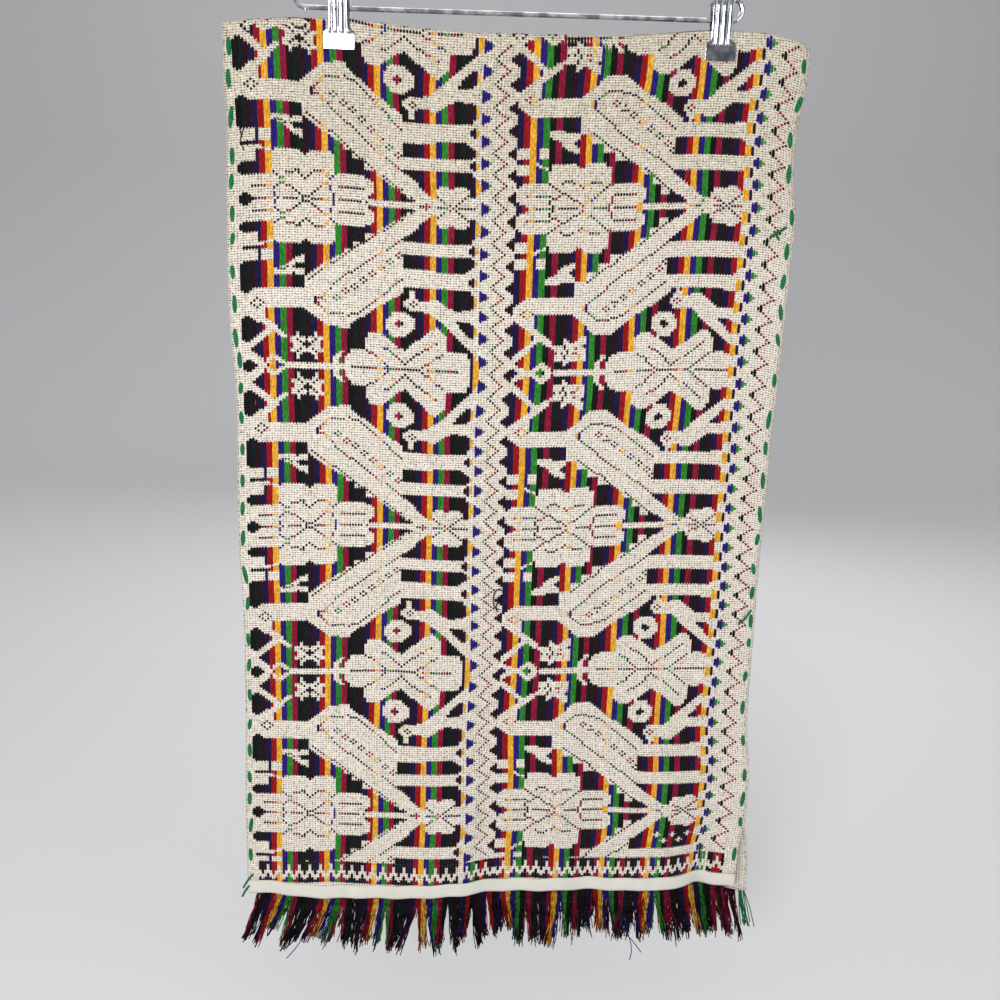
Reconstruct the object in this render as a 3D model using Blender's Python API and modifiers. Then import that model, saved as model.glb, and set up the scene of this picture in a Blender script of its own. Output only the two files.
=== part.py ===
"""A brocaded table runner, folded in half and hung from a two-clip wire hanger.

Metres, +Z up. The origin is where the hanger's hook bears on its rail. X runs
along the hanger's bar and -Y is the runner's front.
"""

import math

import bmesh
import bpy
from mathutils import Vector

# Wire hanger: one bent wire, so every run has the same diameter
WIRE_DIAMETER = 0.0038
WIRE_RADIUS = WIRE_DIAMETER / 2
HANGER_WIDTH = 0.356
BEND_RADIUS = 0.008
ARM_SLOPE = math.radians(16.0)
HOOK_INNER_RADIUS = 0.0185
HOOK_RADIUS = HOOK_INNER_RADIUS + WIRE_RADIUS
HOOK_END_ANGLE = math.radians(222.0)
HOOK_NECK_DROP = 0.062
COLLAR_TOP = -0.080
COLLAR_RADIUS = 0.0048
COLLAR_HEIGHT = 0.014
SEAT_GAP = 0.0003

BEND_X = HANGER_WIDTH / 2 - WIRE_RADIUS - BEND_RADIUS
COLLAR_MIDDLE = COLLAR_TOP - COLLAR_HEIGHT / 2
ARM_INNER_X = COLLAR_RADIUS + SEAT_GAP
ARM_OUTER_X = BEND_X + BEND_RADIUS * math.sin(ARM_SLOPE)
ARM_OUTER_Z = COLLAR_MIDDLE - (ARM_OUTER_X - ARM_INNER_X) * math.tan(ARM_SLOPE)
BAR_Z = ARM_OUTER_Z - BEND_RADIUS * (1 + math.cos(ARM_SLOPE))

# Spring clips, each two pressed plates on a sleeve that slides along the bar
CLIP_X = {"left": -0.142, "right": 0.160}
CLIP_HALF_WIDTH = 0.0125
PLATE_THICKNESS = 0.0009
SLEEVE_RADIUS = 0.0036
SLEEVE_LENGTH = 0.015
SLEEVE_BORE = WIRE_RADIUS + SEAT_GAP
# height above the bar, half width, standoff of the plate's middle from the bar's plane
CLIP_PLATE_PROFILE = (
    (0.0240, 0.0085, 0.0105),
    (0.0180, 0.0095, 0.0082),
    (0.0110, 0.0095, 0.0058),
    (0.0040, 0.0095, 0.0046),
    (-0.0040, 0.0095, 0.0044),
    (-0.0110, 0.0095, 0.0036),
    (-0.0165, 0.0095, 0.0032),
    (-0.0185, 0.0125, 0.00305),
    (-0.0310, 0.0125, 0.00305),
)

# The runner: one cloth 458 mm wide and 1.5 m long, folded over at the clips
CLOTH_WIDTH = 0.458
CLOTH_CENTRE_X = -0.0025
CLOTH_THICKNESS = 0.0018
FRONT_LENGTH = 0.752
BACK_LENGTH = 0.762
CLIPPED_FOLD_RADIUS = 0.0014
OPEN_FOLD_RADIUS = 0.0045
CLIP_GRIP_REACH = 0.013
CLIP_RELEASE_WIDTH = 0.045
CLIP_GRIP_DEPTH = 0.026
LAYER_SPREAD_LENGTH = 0.150
FRONT_HANG_OFFSET = 0.0085
BACK_HANG_OFFSET = 0.0060
HEM_SWING = 0.0055
HEM_SWING_POWER = 1.5
LAYER_SLANT = 0.008
LEFT_DRAW_IN = 0.004
FRONT_HEM_DROP = 0.764
FRONT_HEM_TILT = 0.012
BACK_HEM_DROP = 0.762
BACK_HEM_TILT = -0.050

# across, drop of the fold's top below the bar's centre line
FOLD_LINE = (
    (-0.229, 0.0135),
    (-0.200, 0.0102),
    (-0.157, 0.0083),
    (-0.127, 0.0086),
    (-0.092, 0.0122),
    (-0.050, 0.0146),
    (0.000, 0.0152),
    (0.045, 0.0146),
    (0.089, 0.0123),
    (0.125, 0.0088),
    (0.147, 0.0066),
    (0.173, 0.0062),
    (0.200, 0.0070),
    (0.222, 0.0090),
    (0.229, 0.0120),
)

# across, how far the front hem swings out towards the viewer
FRONT_HEM_WAVES = (
    (-0.229, -0.0120),
    (-0.199, -0.0080),
    (-0.165, -0.0012),
    (-0.100, 0.0024),
    (-0.034, 0.0026),
    (-0.006, -0.0054),
    (0.020, -0.0062),
    (0.055, -0.0036),
    (0.090, -0.0066),
    (0.125, -0.0018),
    (0.158, -0.0010),
    (0.180, -0.0080),
    (0.196, -0.0155),
    (0.212, -0.0090),
    (0.229, -0.0045),
)

# across, how far the back hem swings away from the viewer
BACK_HEM_WAVES = (
    (-0.229, 0.0030),
    (-0.150, 0.0075),
    (-0.070, 0.0030),
    (0.010, 0.0070),
    (0.090, 0.0030),
    (0.170, 0.0080),
    (0.229, 0.0040),
)

# Hem bands sewn over the cloth's ends, and the fringe of warp ends below them
BAND_HEIGHT = 0.0125
BAND_THICKNESS = 0.0012
BAND_OVERHANG = 0.0035
STRIP_HEIGHT = 0.0024
STRIP_THICKNESS = 0.0014
FRINGE_INSET = 0.010
FRONT_STRANDS = 110
BACK_STRANDS = 88
STRAND_SECTIONS = 3
STRAND_SHARE = 0.56
STRAND_TAPER = 0.62
FRINGE_LENGTH = 0.050
FRINGE_RAGGEDNESS = 0.007

# across, sideways lean of the fringe for each metre of drop
FRINGE_LEAN = (
    (-0.229, -0.46),
    (-0.190, -0.38),
    (-0.150, -0.26),
    (-0.115, -0.08),
    (-0.080, -0.10),
    (-0.040, -0.02),
    (0.010, 0.00),
    (0.060, 0.05),
    (0.105, 0.12),
    (0.140, 0.02),
    (0.170, 0.12),
    (0.200, 0.26),
    (0.229, 0.16),
)

ACROSS_STEP = 0.0175
FOLD_STEPS = 6
DOWN_STEP = 0.052

COLORS = {
    "cream cotton": (0.70, 0.65, 0.55, 1.0),
    "white tape": (0.80, 0.77, 0.70, 1.0),
    "dark warp yarn": (0.07, 0.03, 0.07, 1.0),
    "chrome": (0.72, 0.73, 0.76, 1.0),
}


def clear_scene():
    for obj in list(bpy.data.objects):
        bpy.data.objects.remove(obj)


def material(name, roughness, metallic=0.0):
    made = bpy.data.materials.new(name)
    made.use_nodes = True
    shader = made.node_tree.nodes["Principled BSDF"]
    shader.inputs["Base Color"].default_value = COLORS[name]
    shader.inputs["Roughness"].default_value = roughness
    shader.inputs["Metallic"].default_value = metallic
    return made


def smoothstep(low, high, value):
    share = min(1.0, max(0.0, (value - low) / (high - low)))
    return share * share * (3 - 2 * share)


def smooth_table(rows, at):
    """A curve through a table's rows, read at one place along its first column."""
    if at <= rows[0][0]:
        return rows[0][1]
    if at >= rows[-1][0]:
        return rows[-1][1]
    i = next(k for k in range(len(rows) - 1) if at <= rows[k + 1][0])
    (x0, y0), (x1, y1) = rows[i], rows[i + 1]
    before = rows[max(0, i - 1)]
    after = rows[min(len(rows) - 1, i + 2)]
    slope0 = (y1 - before[1]) / (x1 - before[0])
    slope1 = (after[1] - y0) / (after[0] - x0)
    span = x1 - x0
    share = (at - x0) / span
    square, cube = share**2, share**3
    return (
        (2 * cube - 3 * square + 1) * y0
        + (cube - 2 * square + share) * span * slope0
        + (3 * square - 2 * cube) * y1
        + (cube - square) * span * slope1
    )


def clip_places():
    """Where the clips sit across the cloth."""
    return [x - CLOTH_CENTRE_X for x in CLIP_X.values()]


def clip_grip(across):
    """1 under a clip, fading to 0 where the fold opens out beside it."""
    return max(
        1 - smoothstep(CLIP_GRIP_REACH, CLIP_GRIP_REACH + CLIP_RELEASE_WIDTH, abs(place - across))
        for place in clip_places()
    )


def fold_radius(across):
    grip = clip_grip(across)
    return CLIPPED_FOLD_RADIUS * grip + OPEN_FOLD_RADIUS * (1 - grip)


def cloth_point(across, along):
    """A point of the cloth's middle surface.

    along is 0 at the fold, runs down the front as it grows and down the back as it falls.
    """
    radius = fold_radius(across)
    fold_top = BAR_Z - smooth_table(FOLD_LINE, across)
    quarter = radius * math.pi / 2
    if abs(along) <= quarter:
        turn = along / radius
        z = fold_top - radius * (1 - math.cos(turn))
        return Vector((CLOTH_CENTRE_X + across, -radius * math.sin(turn), z))
    front = along > 0
    length = FRONT_LENGTH if front else BACK_LENGTH
    down = abs(along) - quarter
    share = down / (length - quarter)
    spread = smoothstep(CLIP_GRIP_DEPTH, CLIP_GRIP_DEPTH + LAYER_SPREAD_LENGTH, down)
    swing = share**HEM_SWING_POWER
    if front:
        offset = radius + (FRONT_HANG_OFFSET - radius) * spread
        y = -offset - (HEM_SWING + smooth_table(FRONT_HEM_WAVES, across)) * swing
        hem_z = BAR_Z - FRONT_HEM_DROP + FRONT_HEM_TILT * across
        slant = -LAYER_SLANT * down
    else:
        offset = radius + (BACK_HANG_OFFSET - radius) * spread
        y = offset + smooth_table(BACK_HEM_WAVES, across) * swing
        hem_z = BAR_Z - BACK_HEM_DROP + BACK_HEM_TILT * across
        slant = LAYER_SLANT * down
    top_z = fold_top - radius
    leftness = max(0.0, -across / (CLOTH_WIDTH / 2))
    draw_in = LEFT_DRAW_IN * math.sin(math.pi * share) * leftness
    x = CLOTH_CENTRE_X + across + slant + draw_in
    return Vector((x, y, top_z + (hem_z - top_z) * share))


def outward(across, along):
    """The cloth's normal, away from the layer behind it."""
    step = 0.001
    rightwards = cloth_point(across + step, along) - cloth_point(across - step, along)
    onwards = cloth_point(across, along + step) - cloth_point(across, along - step)
    return onwards.cross(rightwards).normalized()


def stations(breaks, step):
    """Places from the first break to the last, even between breaks and no further apart than step."""
    places = [breaks[0]]
    for low, high in zip(breaks, breaks[1:]):
        count = max(1, math.ceil((high - low) / step - 1e-6))
        places += [low + (high - low) * (k + 1) / count for k in range(count)]
    return places


def across_stations():
    half = CLOTH_WIDTH / 2
    breaks = [-half]
    for place in clip_places():
        breaks += [place - CLIP_GRIP_REACH, place + CLIP_GRIP_REACH]
    return stations(breaks + [half], ACROSS_STEP)


def between_stations(across, along, places):
    """A point of the cloth on the straight facets between its own columns."""
    i = max(k for k in range(len(places) - 1) if places[k] <= across)
    share = (across - places[i]) / (places[i + 1] - places[i])
    return cloth_point(places[i], along).lerp(cloth_point(places[i + 1], along), share)


def new_object(name, mesh, collection, finish):
    obj = bpy.data.objects.new(name, mesh)
    collection.objects.link(obj)
    mesh.materials.append(finish)
    return obj


def sheet_object(name, place, columns, rows, thickness, collection, finish):
    """A grid whose points place(i, j) sets, thickened evenly to both sides."""
    mesh = bpy.data.meshes.new(name)
    shape = bmesh.new()
    bmesh.ops.create_grid(shape, x_segments=columns, y_segments=rows, size=1.0)
    for vertex in shape.verts:
        i = round((vertex.co.x + 1) / 2 * columns)
        j = round((vertex.co.y + 1) / 2 * rows)
        vertex.co = place(i, j)
    shape.to_mesh(mesh)
    shape.free()
    mesh.shade_smooth()
    obj = new_object(name, mesh, collection, finish)
    solidify = obj.modifiers.new("thickness", "SOLIDIFY")
    solidify.thickness = thickness
    solidify.offset = 0.0
    return obj


def along_stations():
    """From the back hem over the fold to the front hem, close together round the fold and the clips."""
    fold = CLIPPED_FOLD_RADIUS * math.pi / 2
    near = CLIP_GRIP_DEPTH + fold
    front = stations([fold, near, FRONT_LENGTH - BAND_OVERHANG], DOWN_STEP)
    back = stations([fold, near, BACK_LENGTH - BAND_OVERHANG], DOWN_STEP)
    bend = [math.pi * (k / FOLD_STEPS - 0.5) for k in range(1, FOLD_STEPS)]
    return [-s for s in reversed(back)], bend, front


def build_cloth(collection, finish):
    across = across_stations()
    back, bend, front = along_stations()
    quarter_clipped = CLIPPED_FOLD_RADIUS * math.pi / 2

    def place(i, j):
        a = across[i]
        radius = fold_radius(a)
        stretch = radius * math.pi / 2 - quarter_clipped
        if j < len(back):
            along = back[j]
            share = 1 - (abs(along) - quarter_clipped) / (BACK_LENGTH - quarter_clipped)
            return cloth_point(a, along - stretch * share)
        if j < len(back) + len(bend):
            return cloth_point(a, bend[j - len(back)] * radius)
        along = front[j - len(back) - len(bend)]
        share = 1 - (along - quarter_clipped) / (FRONT_LENGTH - quarter_clipped)
        return cloth_point(a, along + stretch * share)

    rows = len(back) + len(bend) + len(front) - 1
    return sheet_object(
        "runner_cloth", place, len(across) - 1, rows, CLOTH_THICKNESS, collection, finish
    )


def build_band(name, side, collection, finish):
    """A tape on the cloth's outer face, its lower edge hanging past the cloth's."""
    across = across_stations()
    length = FRONT_LENGTH if side > 0 else BACK_LENGTH
    standoff = (CLOTH_THICKNESS + BAND_THICKNESS) / 2 + SEAT_GAP

    def place(i, j):
        along = side * (length - BAND_HEIGHT * (1 - j))
        return cloth_point(across[i], along) + outward(across[i], along) * standoff

    return sheet_object(name, place, len(across) - 1, 1, BAND_THICKNESS, collection, finish)


def ragged(i):
    """A repeatable unevenness from -1 to 1 for strand i."""
    return math.sin(i * 2.399) * 0.6 + math.sin(i * 5.13 + 1.7) * 0.4


def strand_section(root, lean, length, share, i):
    """The middle of strand i at a share of the way down it."""
    sway = 0.0016 * math.sin(i * 1.3 + 4.0 * share) * share
    return root + Vector((lean * length * share**1.3, sway, -length * share))


def build_fringe(name, side, count, collection, finish):
    """Warp ends left long below the band, their roots in a narrow woven strip."""
    length = FRONT_LENGTH if side > 0 else BACK_LENGTH
    pitch = (CLOTH_WIDTH - 2 * FRINGE_INSET) / count
    half_gap = pitch * (1 - STRAND_SHARE) / 2
    strip_low = length - BAND_OVERHANG + SEAT_GAP + STRIP_HEIGHT
    low_x = -CLOTH_WIDTH / 2 + FRINGE_INSET
    places = across_stations()
    mesh = bpy.data.meshes.new(name)
    shape = bmesh.new()
    bmesh.ops.create_grid(shape, x_segments=2 * count + 1, y_segments=1, size=1.0)
    for vertex in shape.verts:
        i = round((vertex.co.x + 1) / 2 * (2 * count + 1))
        edge = i // 2 * pitch + half_gap * (1 if i % 2 else -1)
        edge = min(count * pitch, max(0.0, edge))
        face_y = STRIP_THICKNESS / 2 * (1 if vertex.co.y > 0 else -1)
        vertex.co = between_stations(low_x + edge, side * strip_low, places)
        vertex.co.y += face_y
    shape.faces.ensure_lookup_table()
    roots = sorted(shape.faces, key=lambda f: f.calc_center_median().x)[1::2]
    lifted = bmesh.ops.extrude_face_region(shape, geom=shape.faces[:])["geom"]
    top = [v for v in lifted if isinstance(v, bmesh.types.BMVert)]
    bmesh.ops.translate(shape, verts=top, vec=(0, 0, STRIP_HEIGHT))
    for i, face in enumerate(roots):
        root = face.calc_center_median()
        lean = smooth_table(FRINGE_LEAN, root.x)
        drop = FRINGE_LENGTH + FRINGE_RAGGEDNESS * ragged(i)
        centre = root
        for k in range(1, STRAND_SECTIONS + 1):
            face = bmesh.ops.extrude_discrete_faces(shape, faces=[face])["faces"][0]
            middle = strand_section(root, lean, drop, k / STRAND_SECTIONS, i)
            shrink = STRAND_TAPER ** (1 / STRAND_SECTIONS)
            for vertex in face.verts:
                vertex.co = middle + (vertex.co - centre) * shrink
            centre = middle
    bmesh.ops.recalc_face_normals(shape, faces=shape.faces[:])
    shape.to_mesh(mesh)
    shape.free()
    return new_object(name, mesh, collection, finish)


def wire_object(name, points, collection, finish):
    """A round wire through these points of the XZ plane."""
    curve = bpy.data.curves.new(name, "CURVE")
    curve.dimensions = "3D"
    curve.bevel_depth = WIRE_RADIUS
    curve.bevel_resolution = 3
    curve.use_fill_caps = True
    spline = curve.splines.new("POLY")
    spline.points.add(len(points) - 1)
    for target, (x, z) in zip(spline.points, points):
        target.co = (x, 0.0, z, 1.0)
    curve.materials.append(finish)
    obj = bpy.data.objects.new(name, curve)
    collection.objects.link(obj)
    return obj


def arc_points(centre, radius, start, end, steps):
    return [
        (centre[0] + radius * math.cos(angle), centre[1] + radius * math.sin(angle))
        for angle in (start + (end - start) * k / steps for k in range(steps + 1))
    ]


def build_hook(collection, finish):
    """Up from the collar, over to one side in an S, then round the hook's crown to its tip."""
    centre = (0.0, -HOOK_INNER_RADIUS)
    foot = COLLAR_TOP + SEAT_GAP
    bottom_z = -HOOK_NECK_DROP
    side_z = centre[1]
    neck = [
        (HOOK_RADIUS * smoothstep(0, 1, share), bottom_z + (side_z - bottom_z) * share)
        for share in (k / 8 for k in range(8))
    ]
    crown = arc_points(centre, HOOK_RADIUS, 0.0, HOOK_END_ANGLE, 20)
    return wire_object("hanger_hook", [(0.0, foot)] + neck + crown, collection, finish)


def build_frame(collection, finish):
    """The bar, the round bends at its ends and the two arms that rise to the collar."""
    gap = SEAT_GAP
    wire_object("hanger_bar", [(-BEND_X + gap, BAR_Z), (BEND_X - gap, BAR_Z)], collection, finish)
    bend_centre = (BEND_X, BAR_Z + BEND_RADIUS)
    bend = arc_points(bend_centre, BEND_RADIUS, -math.pi / 2, math.pi / 2 - ARM_SLOPE, 12)
    arm_start = ARM_OUTER_X - gap * math.cos(ARM_SLOPE), ARM_OUTER_Z + gap * math.sin(ARM_SLOPE)
    arm_inner = ARM_INNER_X + WIRE_RADIUS * math.tan(ARM_SLOPE)
    arm = [arm_start, (arm_inner, COLLAR_MIDDLE)]
    for name, mirror in (("right", 1), ("left", -1)):
        wire_object(f"hanger_bend_{name}", [(mirror * x, z) for x, z in bend], collection, finish)
        wire_object(f"hanger_arm_{name}", [(mirror * x, z) for x, z in arm], collection, finish)


def build_collar(collection, finish):
    """The ferrule that joins the hook's stem and both arms."""
    mesh = bpy.data.meshes.new("hanger_collar")
    shape = bmesh.new()
    bmesh.ops.create_cone(
        shape,
        cap_ends=True,
        segments=20,
        radius1=COLLAR_RADIUS,
        radius2=COLLAR_RADIUS,
        depth=COLLAR_HEIGHT,
    )
    shape.to_mesh(mesh)
    shape.free()
    obj = new_object("hanger_collar", mesh, collection, finish)
    obj.location.z = COLLAR_MIDDLE
    return obj


def barrel(name, radius, length, collection, finish):
    """A cylinder lying along X on the bar's centre line."""
    mesh = bpy.data.meshes.new(name)
    shape = bmesh.new()
    bmesh.ops.create_cone(
        shape, cap_ends=True, segments=16, radius1=radius, radius2=radius, depth=length
    )
    shape.to_mesh(mesh)
    shape.free()
    obj = new_object(name, mesh, collection, finish)
    obj.rotation_euler.y = math.pi / 2
    obj.location.z = BAR_Z
    return obj


def build_sleeve(side, collection, cutters, finish):
    """The clip's pivot: a tube that the bar runs through."""
    sleeve = barrel(f"clip_{side}_sleeve", SLEEVE_RADIUS, SLEEVE_LENGTH, collection, finish)
    bore = barrel(f"clip_{side}_bore", SLEEVE_BORE, SLEEVE_LENGTH * 2, cutters, finish)
    sleeve.location.x = bore.location.x = CLIP_X[side]
    bore.hide_render = True
    bore.display_type = "WIRE"
    cut = sleeve.modifiers.new("bore", "BOOLEAN")
    cut.operation = "DIFFERENCE"
    cut.object = bore
    return sleeve


def build_plate(side, face, collection, finish):
    """One pressed plate of a clip: handle, shank and a wider jaw. face is -1 in front, 1 behind."""
    columns = 4

    def place(i, j):
        height, half_width, standoff = CLIP_PLATE_PROFILE[j]
        across = half_width * (2 * i / columns - 1)
        return Vector((CLIP_X[side] + across, face * standoff, BAR_Z + height))

    name = f"clip_{side}_{'front' if face < 0 else 'back'}_plate"
    rows = len(CLIP_PLATE_PROFILE) - 1
    return sheet_object(name, place, columns, rows, PLATE_THICKNESS, collection, finish)


def main():
    clear_scene()
    runner = bpy.data.collections.new("table_runner_on_hanger")
    cutters = bpy.data.collections.new("cutters")
    for collection in (runner, cutters):
        bpy.context.scene.collection.children.link(collection)
    cream = material("cream cotton", roughness=0.95)
    tape = material("white tape", roughness=0.9)
    yarn = material("dark warp yarn", roughness=0.8)
    chrome = material("chrome", roughness=0.15, metallic=1.0)

    build_cloth(runner, cream)
    for name, side, count in (("front", 1, FRONT_STRANDS), ("back", -1, BACK_STRANDS)):
        build_band(f"hem_band_{name}", side, runner, tape)
        build_fringe(f"fringe_{name}", side, count, runner, yarn)
    build_hook(runner, chrome)
    build_frame(runner, chrome)
    build_collar(runner, chrome)
    for side in CLIP_X:
        build_sleeve(side, runner, cutters, chrome)
        for face in (-1, 1):
            build_plate(side, face, runner, chrome)


main()
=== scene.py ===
"""The looks of a brocaded table runner that hangs, folded in half, from a two-clip wire hanger.

Metres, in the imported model's frame: the origin is inside the hanger's hook, +X runs along
its bar and -Y is the runner's front. The woven figures are charted in columns and picks.
"""

import math

import bpy
import numpy as np
from mathutils import Euler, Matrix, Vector


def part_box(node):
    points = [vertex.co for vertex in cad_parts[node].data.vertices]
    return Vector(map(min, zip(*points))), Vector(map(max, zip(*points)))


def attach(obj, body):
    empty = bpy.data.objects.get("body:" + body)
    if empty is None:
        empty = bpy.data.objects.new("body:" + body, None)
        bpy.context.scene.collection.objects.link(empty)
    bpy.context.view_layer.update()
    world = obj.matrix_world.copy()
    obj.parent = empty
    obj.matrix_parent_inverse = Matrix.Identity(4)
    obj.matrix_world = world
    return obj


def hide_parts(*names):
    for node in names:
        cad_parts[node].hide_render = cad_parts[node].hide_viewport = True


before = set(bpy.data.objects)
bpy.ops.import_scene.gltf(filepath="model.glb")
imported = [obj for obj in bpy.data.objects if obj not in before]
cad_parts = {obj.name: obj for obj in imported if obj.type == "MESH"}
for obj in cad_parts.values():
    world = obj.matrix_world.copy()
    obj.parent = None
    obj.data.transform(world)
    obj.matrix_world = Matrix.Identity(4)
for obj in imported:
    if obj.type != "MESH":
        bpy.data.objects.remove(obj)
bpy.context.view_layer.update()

MM = 0.001

# The drape, as the model has it
BAR_Z = sum(corner.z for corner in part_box("hanger_bar")) / 2
CLIP_X = {"left": -0.142, "right": 0.160}
CLOTH_WIDTH = 0.458
CLOTH_CENTRE_X = -0.0025
CLOTH_THICKNESS = 0.0018
FRONT_LENGTH = 0.752
BACK_LENGTH = 0.762
CLIPPED_FOLD_RADIUS = 0.0014
OPEN_FOLD_RADIUS = 0.0045
CLIP_GRIP_REACH = 0.013
CLIP_RELEASE_WIDTH = 0.045
CLIP_GRIP_DEPTH = 0.026
LAYER_SPREAD_LENGTH = 0.150
FRONT_HANG_OFFSET = 0.0085
BACK_HANG_OFFSET = 0.0060
HEM_SWING = 0.0055
HEM_SWING_POWER = 1.5
LAYER_SLANT = 0.008
LEFT_DRAW_IN = 0.004
FRONT_HEM_DROP = 0.764
FRONT_HEM_TILT = 0.012
BACK_HEM_DROP = 0.762
BACK_HEM_TILT = -0.050

# across, drop of the fold's top below the bar's centre line
FOLD_LINE = (
    (-0.229, 0.0135), (-0.200, 0.0102), (-0.157, 0.0083), (-0.127, 0.0086), (-0.092, 0.0122),
    (-0.050, 0.0146), (0.000, 0.0152), (0.045, 0.0146), (0.089, 0.0136), (0.125, 0.0104),
    (0.147, 0.0082), (0.173, 0.0080), (0.200, 0.0098), (0.222, 0.0146), (0.229, 0.0190),
)

# across, how far the front hem swings out towards the viewer
FRONT_HEM_WAVES = (
    (-0.229, -0.0120), (-0.199, -0.0080), (-0.165, -0.0012), (-0.100, 0.0024), (-0.034, 0.0026),
    (-0.006, -0.0054), (0.020, -0.0062), (0.055, -0.0036), (0.090, -0.0066), (0.125, -0.0018),
    (0.158, -0.0024), (0.180, -0.0034), (0.196, -0.0040), (0.212, -0.0042), (0.229, -0.0045),
)

# across, how far the last of the front hem curls in towards the wall
FRONT_HEM_CURL = (
    (-0.229, 0.0), (0.140, 0.0), (0.158, -0.0014), (0.180, 0.0046), (0.196, 0.0115),
    (0.212, 0.0048), (0.229, 0.0),
)
HEM_CURL_POWER = 9

# across, how far the back hem swings away from the viewer
BACK_HEM_WAVES = (
    (-0.229, 0.0030), (-0.150, 0.0075), (-0.070, 0.0030), (0.010, 0.0070), (0.090, 0.0030),
    (0.170, 0.0080), (0.229, 0.0040),
)

# distance down from the fold, how far the side strays towards +X, in millimetres
LEFT_SIDE = (
    (25, 0.0), (46, -0.7), (70, 0.5), (130, -1.6), (229, -3.0), (288, 0.2), (375, -1.5),
    (432, -1.3), (489, 0.9), (585, 1.1), (659, 0.2), (745, 1.1),
)
RIGHT_SIDE = (
    (0, 4.5), (15, 5.0), (30, 4.5), (45, 3.0), (69, -0.5), (103, -0.2), (137, 4.0), (165, 3.0),
    (190, 2.7), (218, 1.9), (287, 0.2), (326, -1.6), (350, -1.0), (400, -2.2), (513, -2.0),
    (578, -1.4), (605, 1.0), (628, 4.4), (655, 5.0), (684, 5.0), (700, 2.5), (708, 1.0), (727, 0.8),
    (742, -0.3),
)
BACK_RIGHT_SIDE = (
    (0, 0.0), (150, -2.5), (400, -6.0), (585, -8.0), (640, -6.0), (683, -1.5), (712, 4.0),
    (762, 6.0),
)
BACK_CORNER_DROP = 0.009
BACK_CORNER_ENDS = (0.165, 0.229)
FRONT_STRAY_FADE = 60

# across from the left in millimetres, how far the picks near the fold ride down the front
FOLD_SLIP = (
    (0, -8.0), (20, -8.0), (60, -4.0), (85, -2.5), (135, 5.5), (180, 4.5), (215, 3.3), (250, 2.5),
    (330, 2.6), (380, 2.4), (458, 2.4),
)
FOLD_SLIP_ENDS = (75, 125)

BAND_HEIGHT = 0.0125
BAND_THICKNESS = 0.0012
BAND_OVERHANG = 0.0035
FRINGE_INSET = 0.010
FRINGE_LENGTH = 0.050

# across, sideways lean of the fringe for each metre of drop
FRINGE_LEAN = (
    (-0.229, -0.46), (-0.190, -0.38), (-0.150, -0.26), (-0.115, -0.08), (-0.080, -0.10),
    (-0.040, -0.02), (0.010, 0.00), (0.060, 0.05), (0.105, 0.12), (0.140, 0.02), (0.170, 0.12),
    (0.200, 0.26), (0.229, 0.16),
)

# The weave: one warp column and one pick, and where the figured panels lie across
PICK = 1.93 * MM
COLUMN = 2.42 * MM
PANEL_COLUMNS = 76
HALF_REPEAT = 70
FLOWER_AXIS_PICK = 68
FIGURE_END_PICK = {1: 372, -1: 377}
HEM_MOTIF_PICK = {1: 372, -1: 378}
LEFT_PANEL_START = 11.6 * MM
LEFT_PANEL_END = 199.2 * MM
RIGHT_PANEL_START = 231.2 * MM
RIGHT_PANEL_END = 414.4 * MM
TEETH_PERIOD = 9.4
TOOTH_PICK = 68.5

# pick, distance down from the fold in millimetres: the picks are beaten a little unevenly
PICK_PLACES = (
    (-16, -29.0), (0, 3.0), (16, 35.0), (68, 135.2), (119, 232.4), (138, 268.2), (159, 309.5),
    (208, 402.5), (254, 487.0), (278, 532.4), (298, 572.8), (348, 669.8), (382, 739.0),
    (391, 757.0),
)

YARNS = {
    "red": (0.295, 0.006, 0.010),
    "yellow": (0.84, 0.385, 0.030),
    "blue": (0.020, 0.010, 0.150),
    "green": (0.026, 0.21, 0.022),
    "crimson": (0.245, 0.006, 0.034),
    "black": (0.0055, 0.005, 0.006),
    "dark_green": (0.004, 0.0105, 0.0088),
    "plum": (0.017, 0.0042, 0.0085),
    "navy": (0.0105, 0.0065, 0.045),
}
YARN_NAMES = list(YARNS)
LEFT_STRIPES = "red yellow blue green crimson black dark_green plum navy".split()
LEFT_STRIPES_START = 5
RIGHT_STRIPES = "red yellow blue green black crimson dark_green plum navy".split()
RIGHT_STRIPES_START = 2
LEFT_PANEL = (LEFT_PANEL_START, LEFT_PANEL_END, LEFT_STRIPES, LEFT_STRIPES_START)
RIGHT_PANEL = (RIGHT_PANEL_START, RIGHT_PANEL_END, RIGHT_STRIPES, RIGHT_STRIPES_START)


def hermite(rows, at):
    """A smooth curve through a table's rows, read at places along its first column."""
    table = np.array(rows)
    x, y = table[:, 0], table[:, 1]
    at = np.clip(at, x[0], x[-1])
    i = np.clip(np.searchsorted(x, at, side="left") - 1, 0, len(x) - 2)
    before, after = np.maximum(i - 1, 0), np.minimum(i + 2, len(x) - 1)
    slope0 = (y[i + 1] - y[before]) / (x[i + 1] - x[before])
    slope1 = (y[after] - y[i]) / (x[after] - x[i])
    span = x[i + 1] - x[i]
    share = (at - x[i]) / span
    square, cube = share**2, share**3
    return (
        (2 * cube - 3 * square + 1) * y[i]
        + (cube - 2 * square + share) * span * slope0
        + (3 * square - 2 * cube) * y[i + 1]
        + (cube - square) * span * slope1
    )


def smoothstep(low, high, value):
    share = np.clip((value - low) / (high - low), 0.0, 1.0)
    return share * share * (3 - 2 * share)


def fold_radius(across):
    grip = np.zeros_like(across)
    for x in CLIP_X.values():
        away = np.abs(x - CLOTH_CENTRE_X - across)
        reach = CLIP_GRIP_REACH
        grip = np.maximum(grip, 1 - smoothstep(reach, reach + CLIP_RELEASE_WIDTH, away))
    return CLIPPED_FOLD_RADIUS * grip + OPEN_FOLD_RADIUS * (1 - grip)


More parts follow.
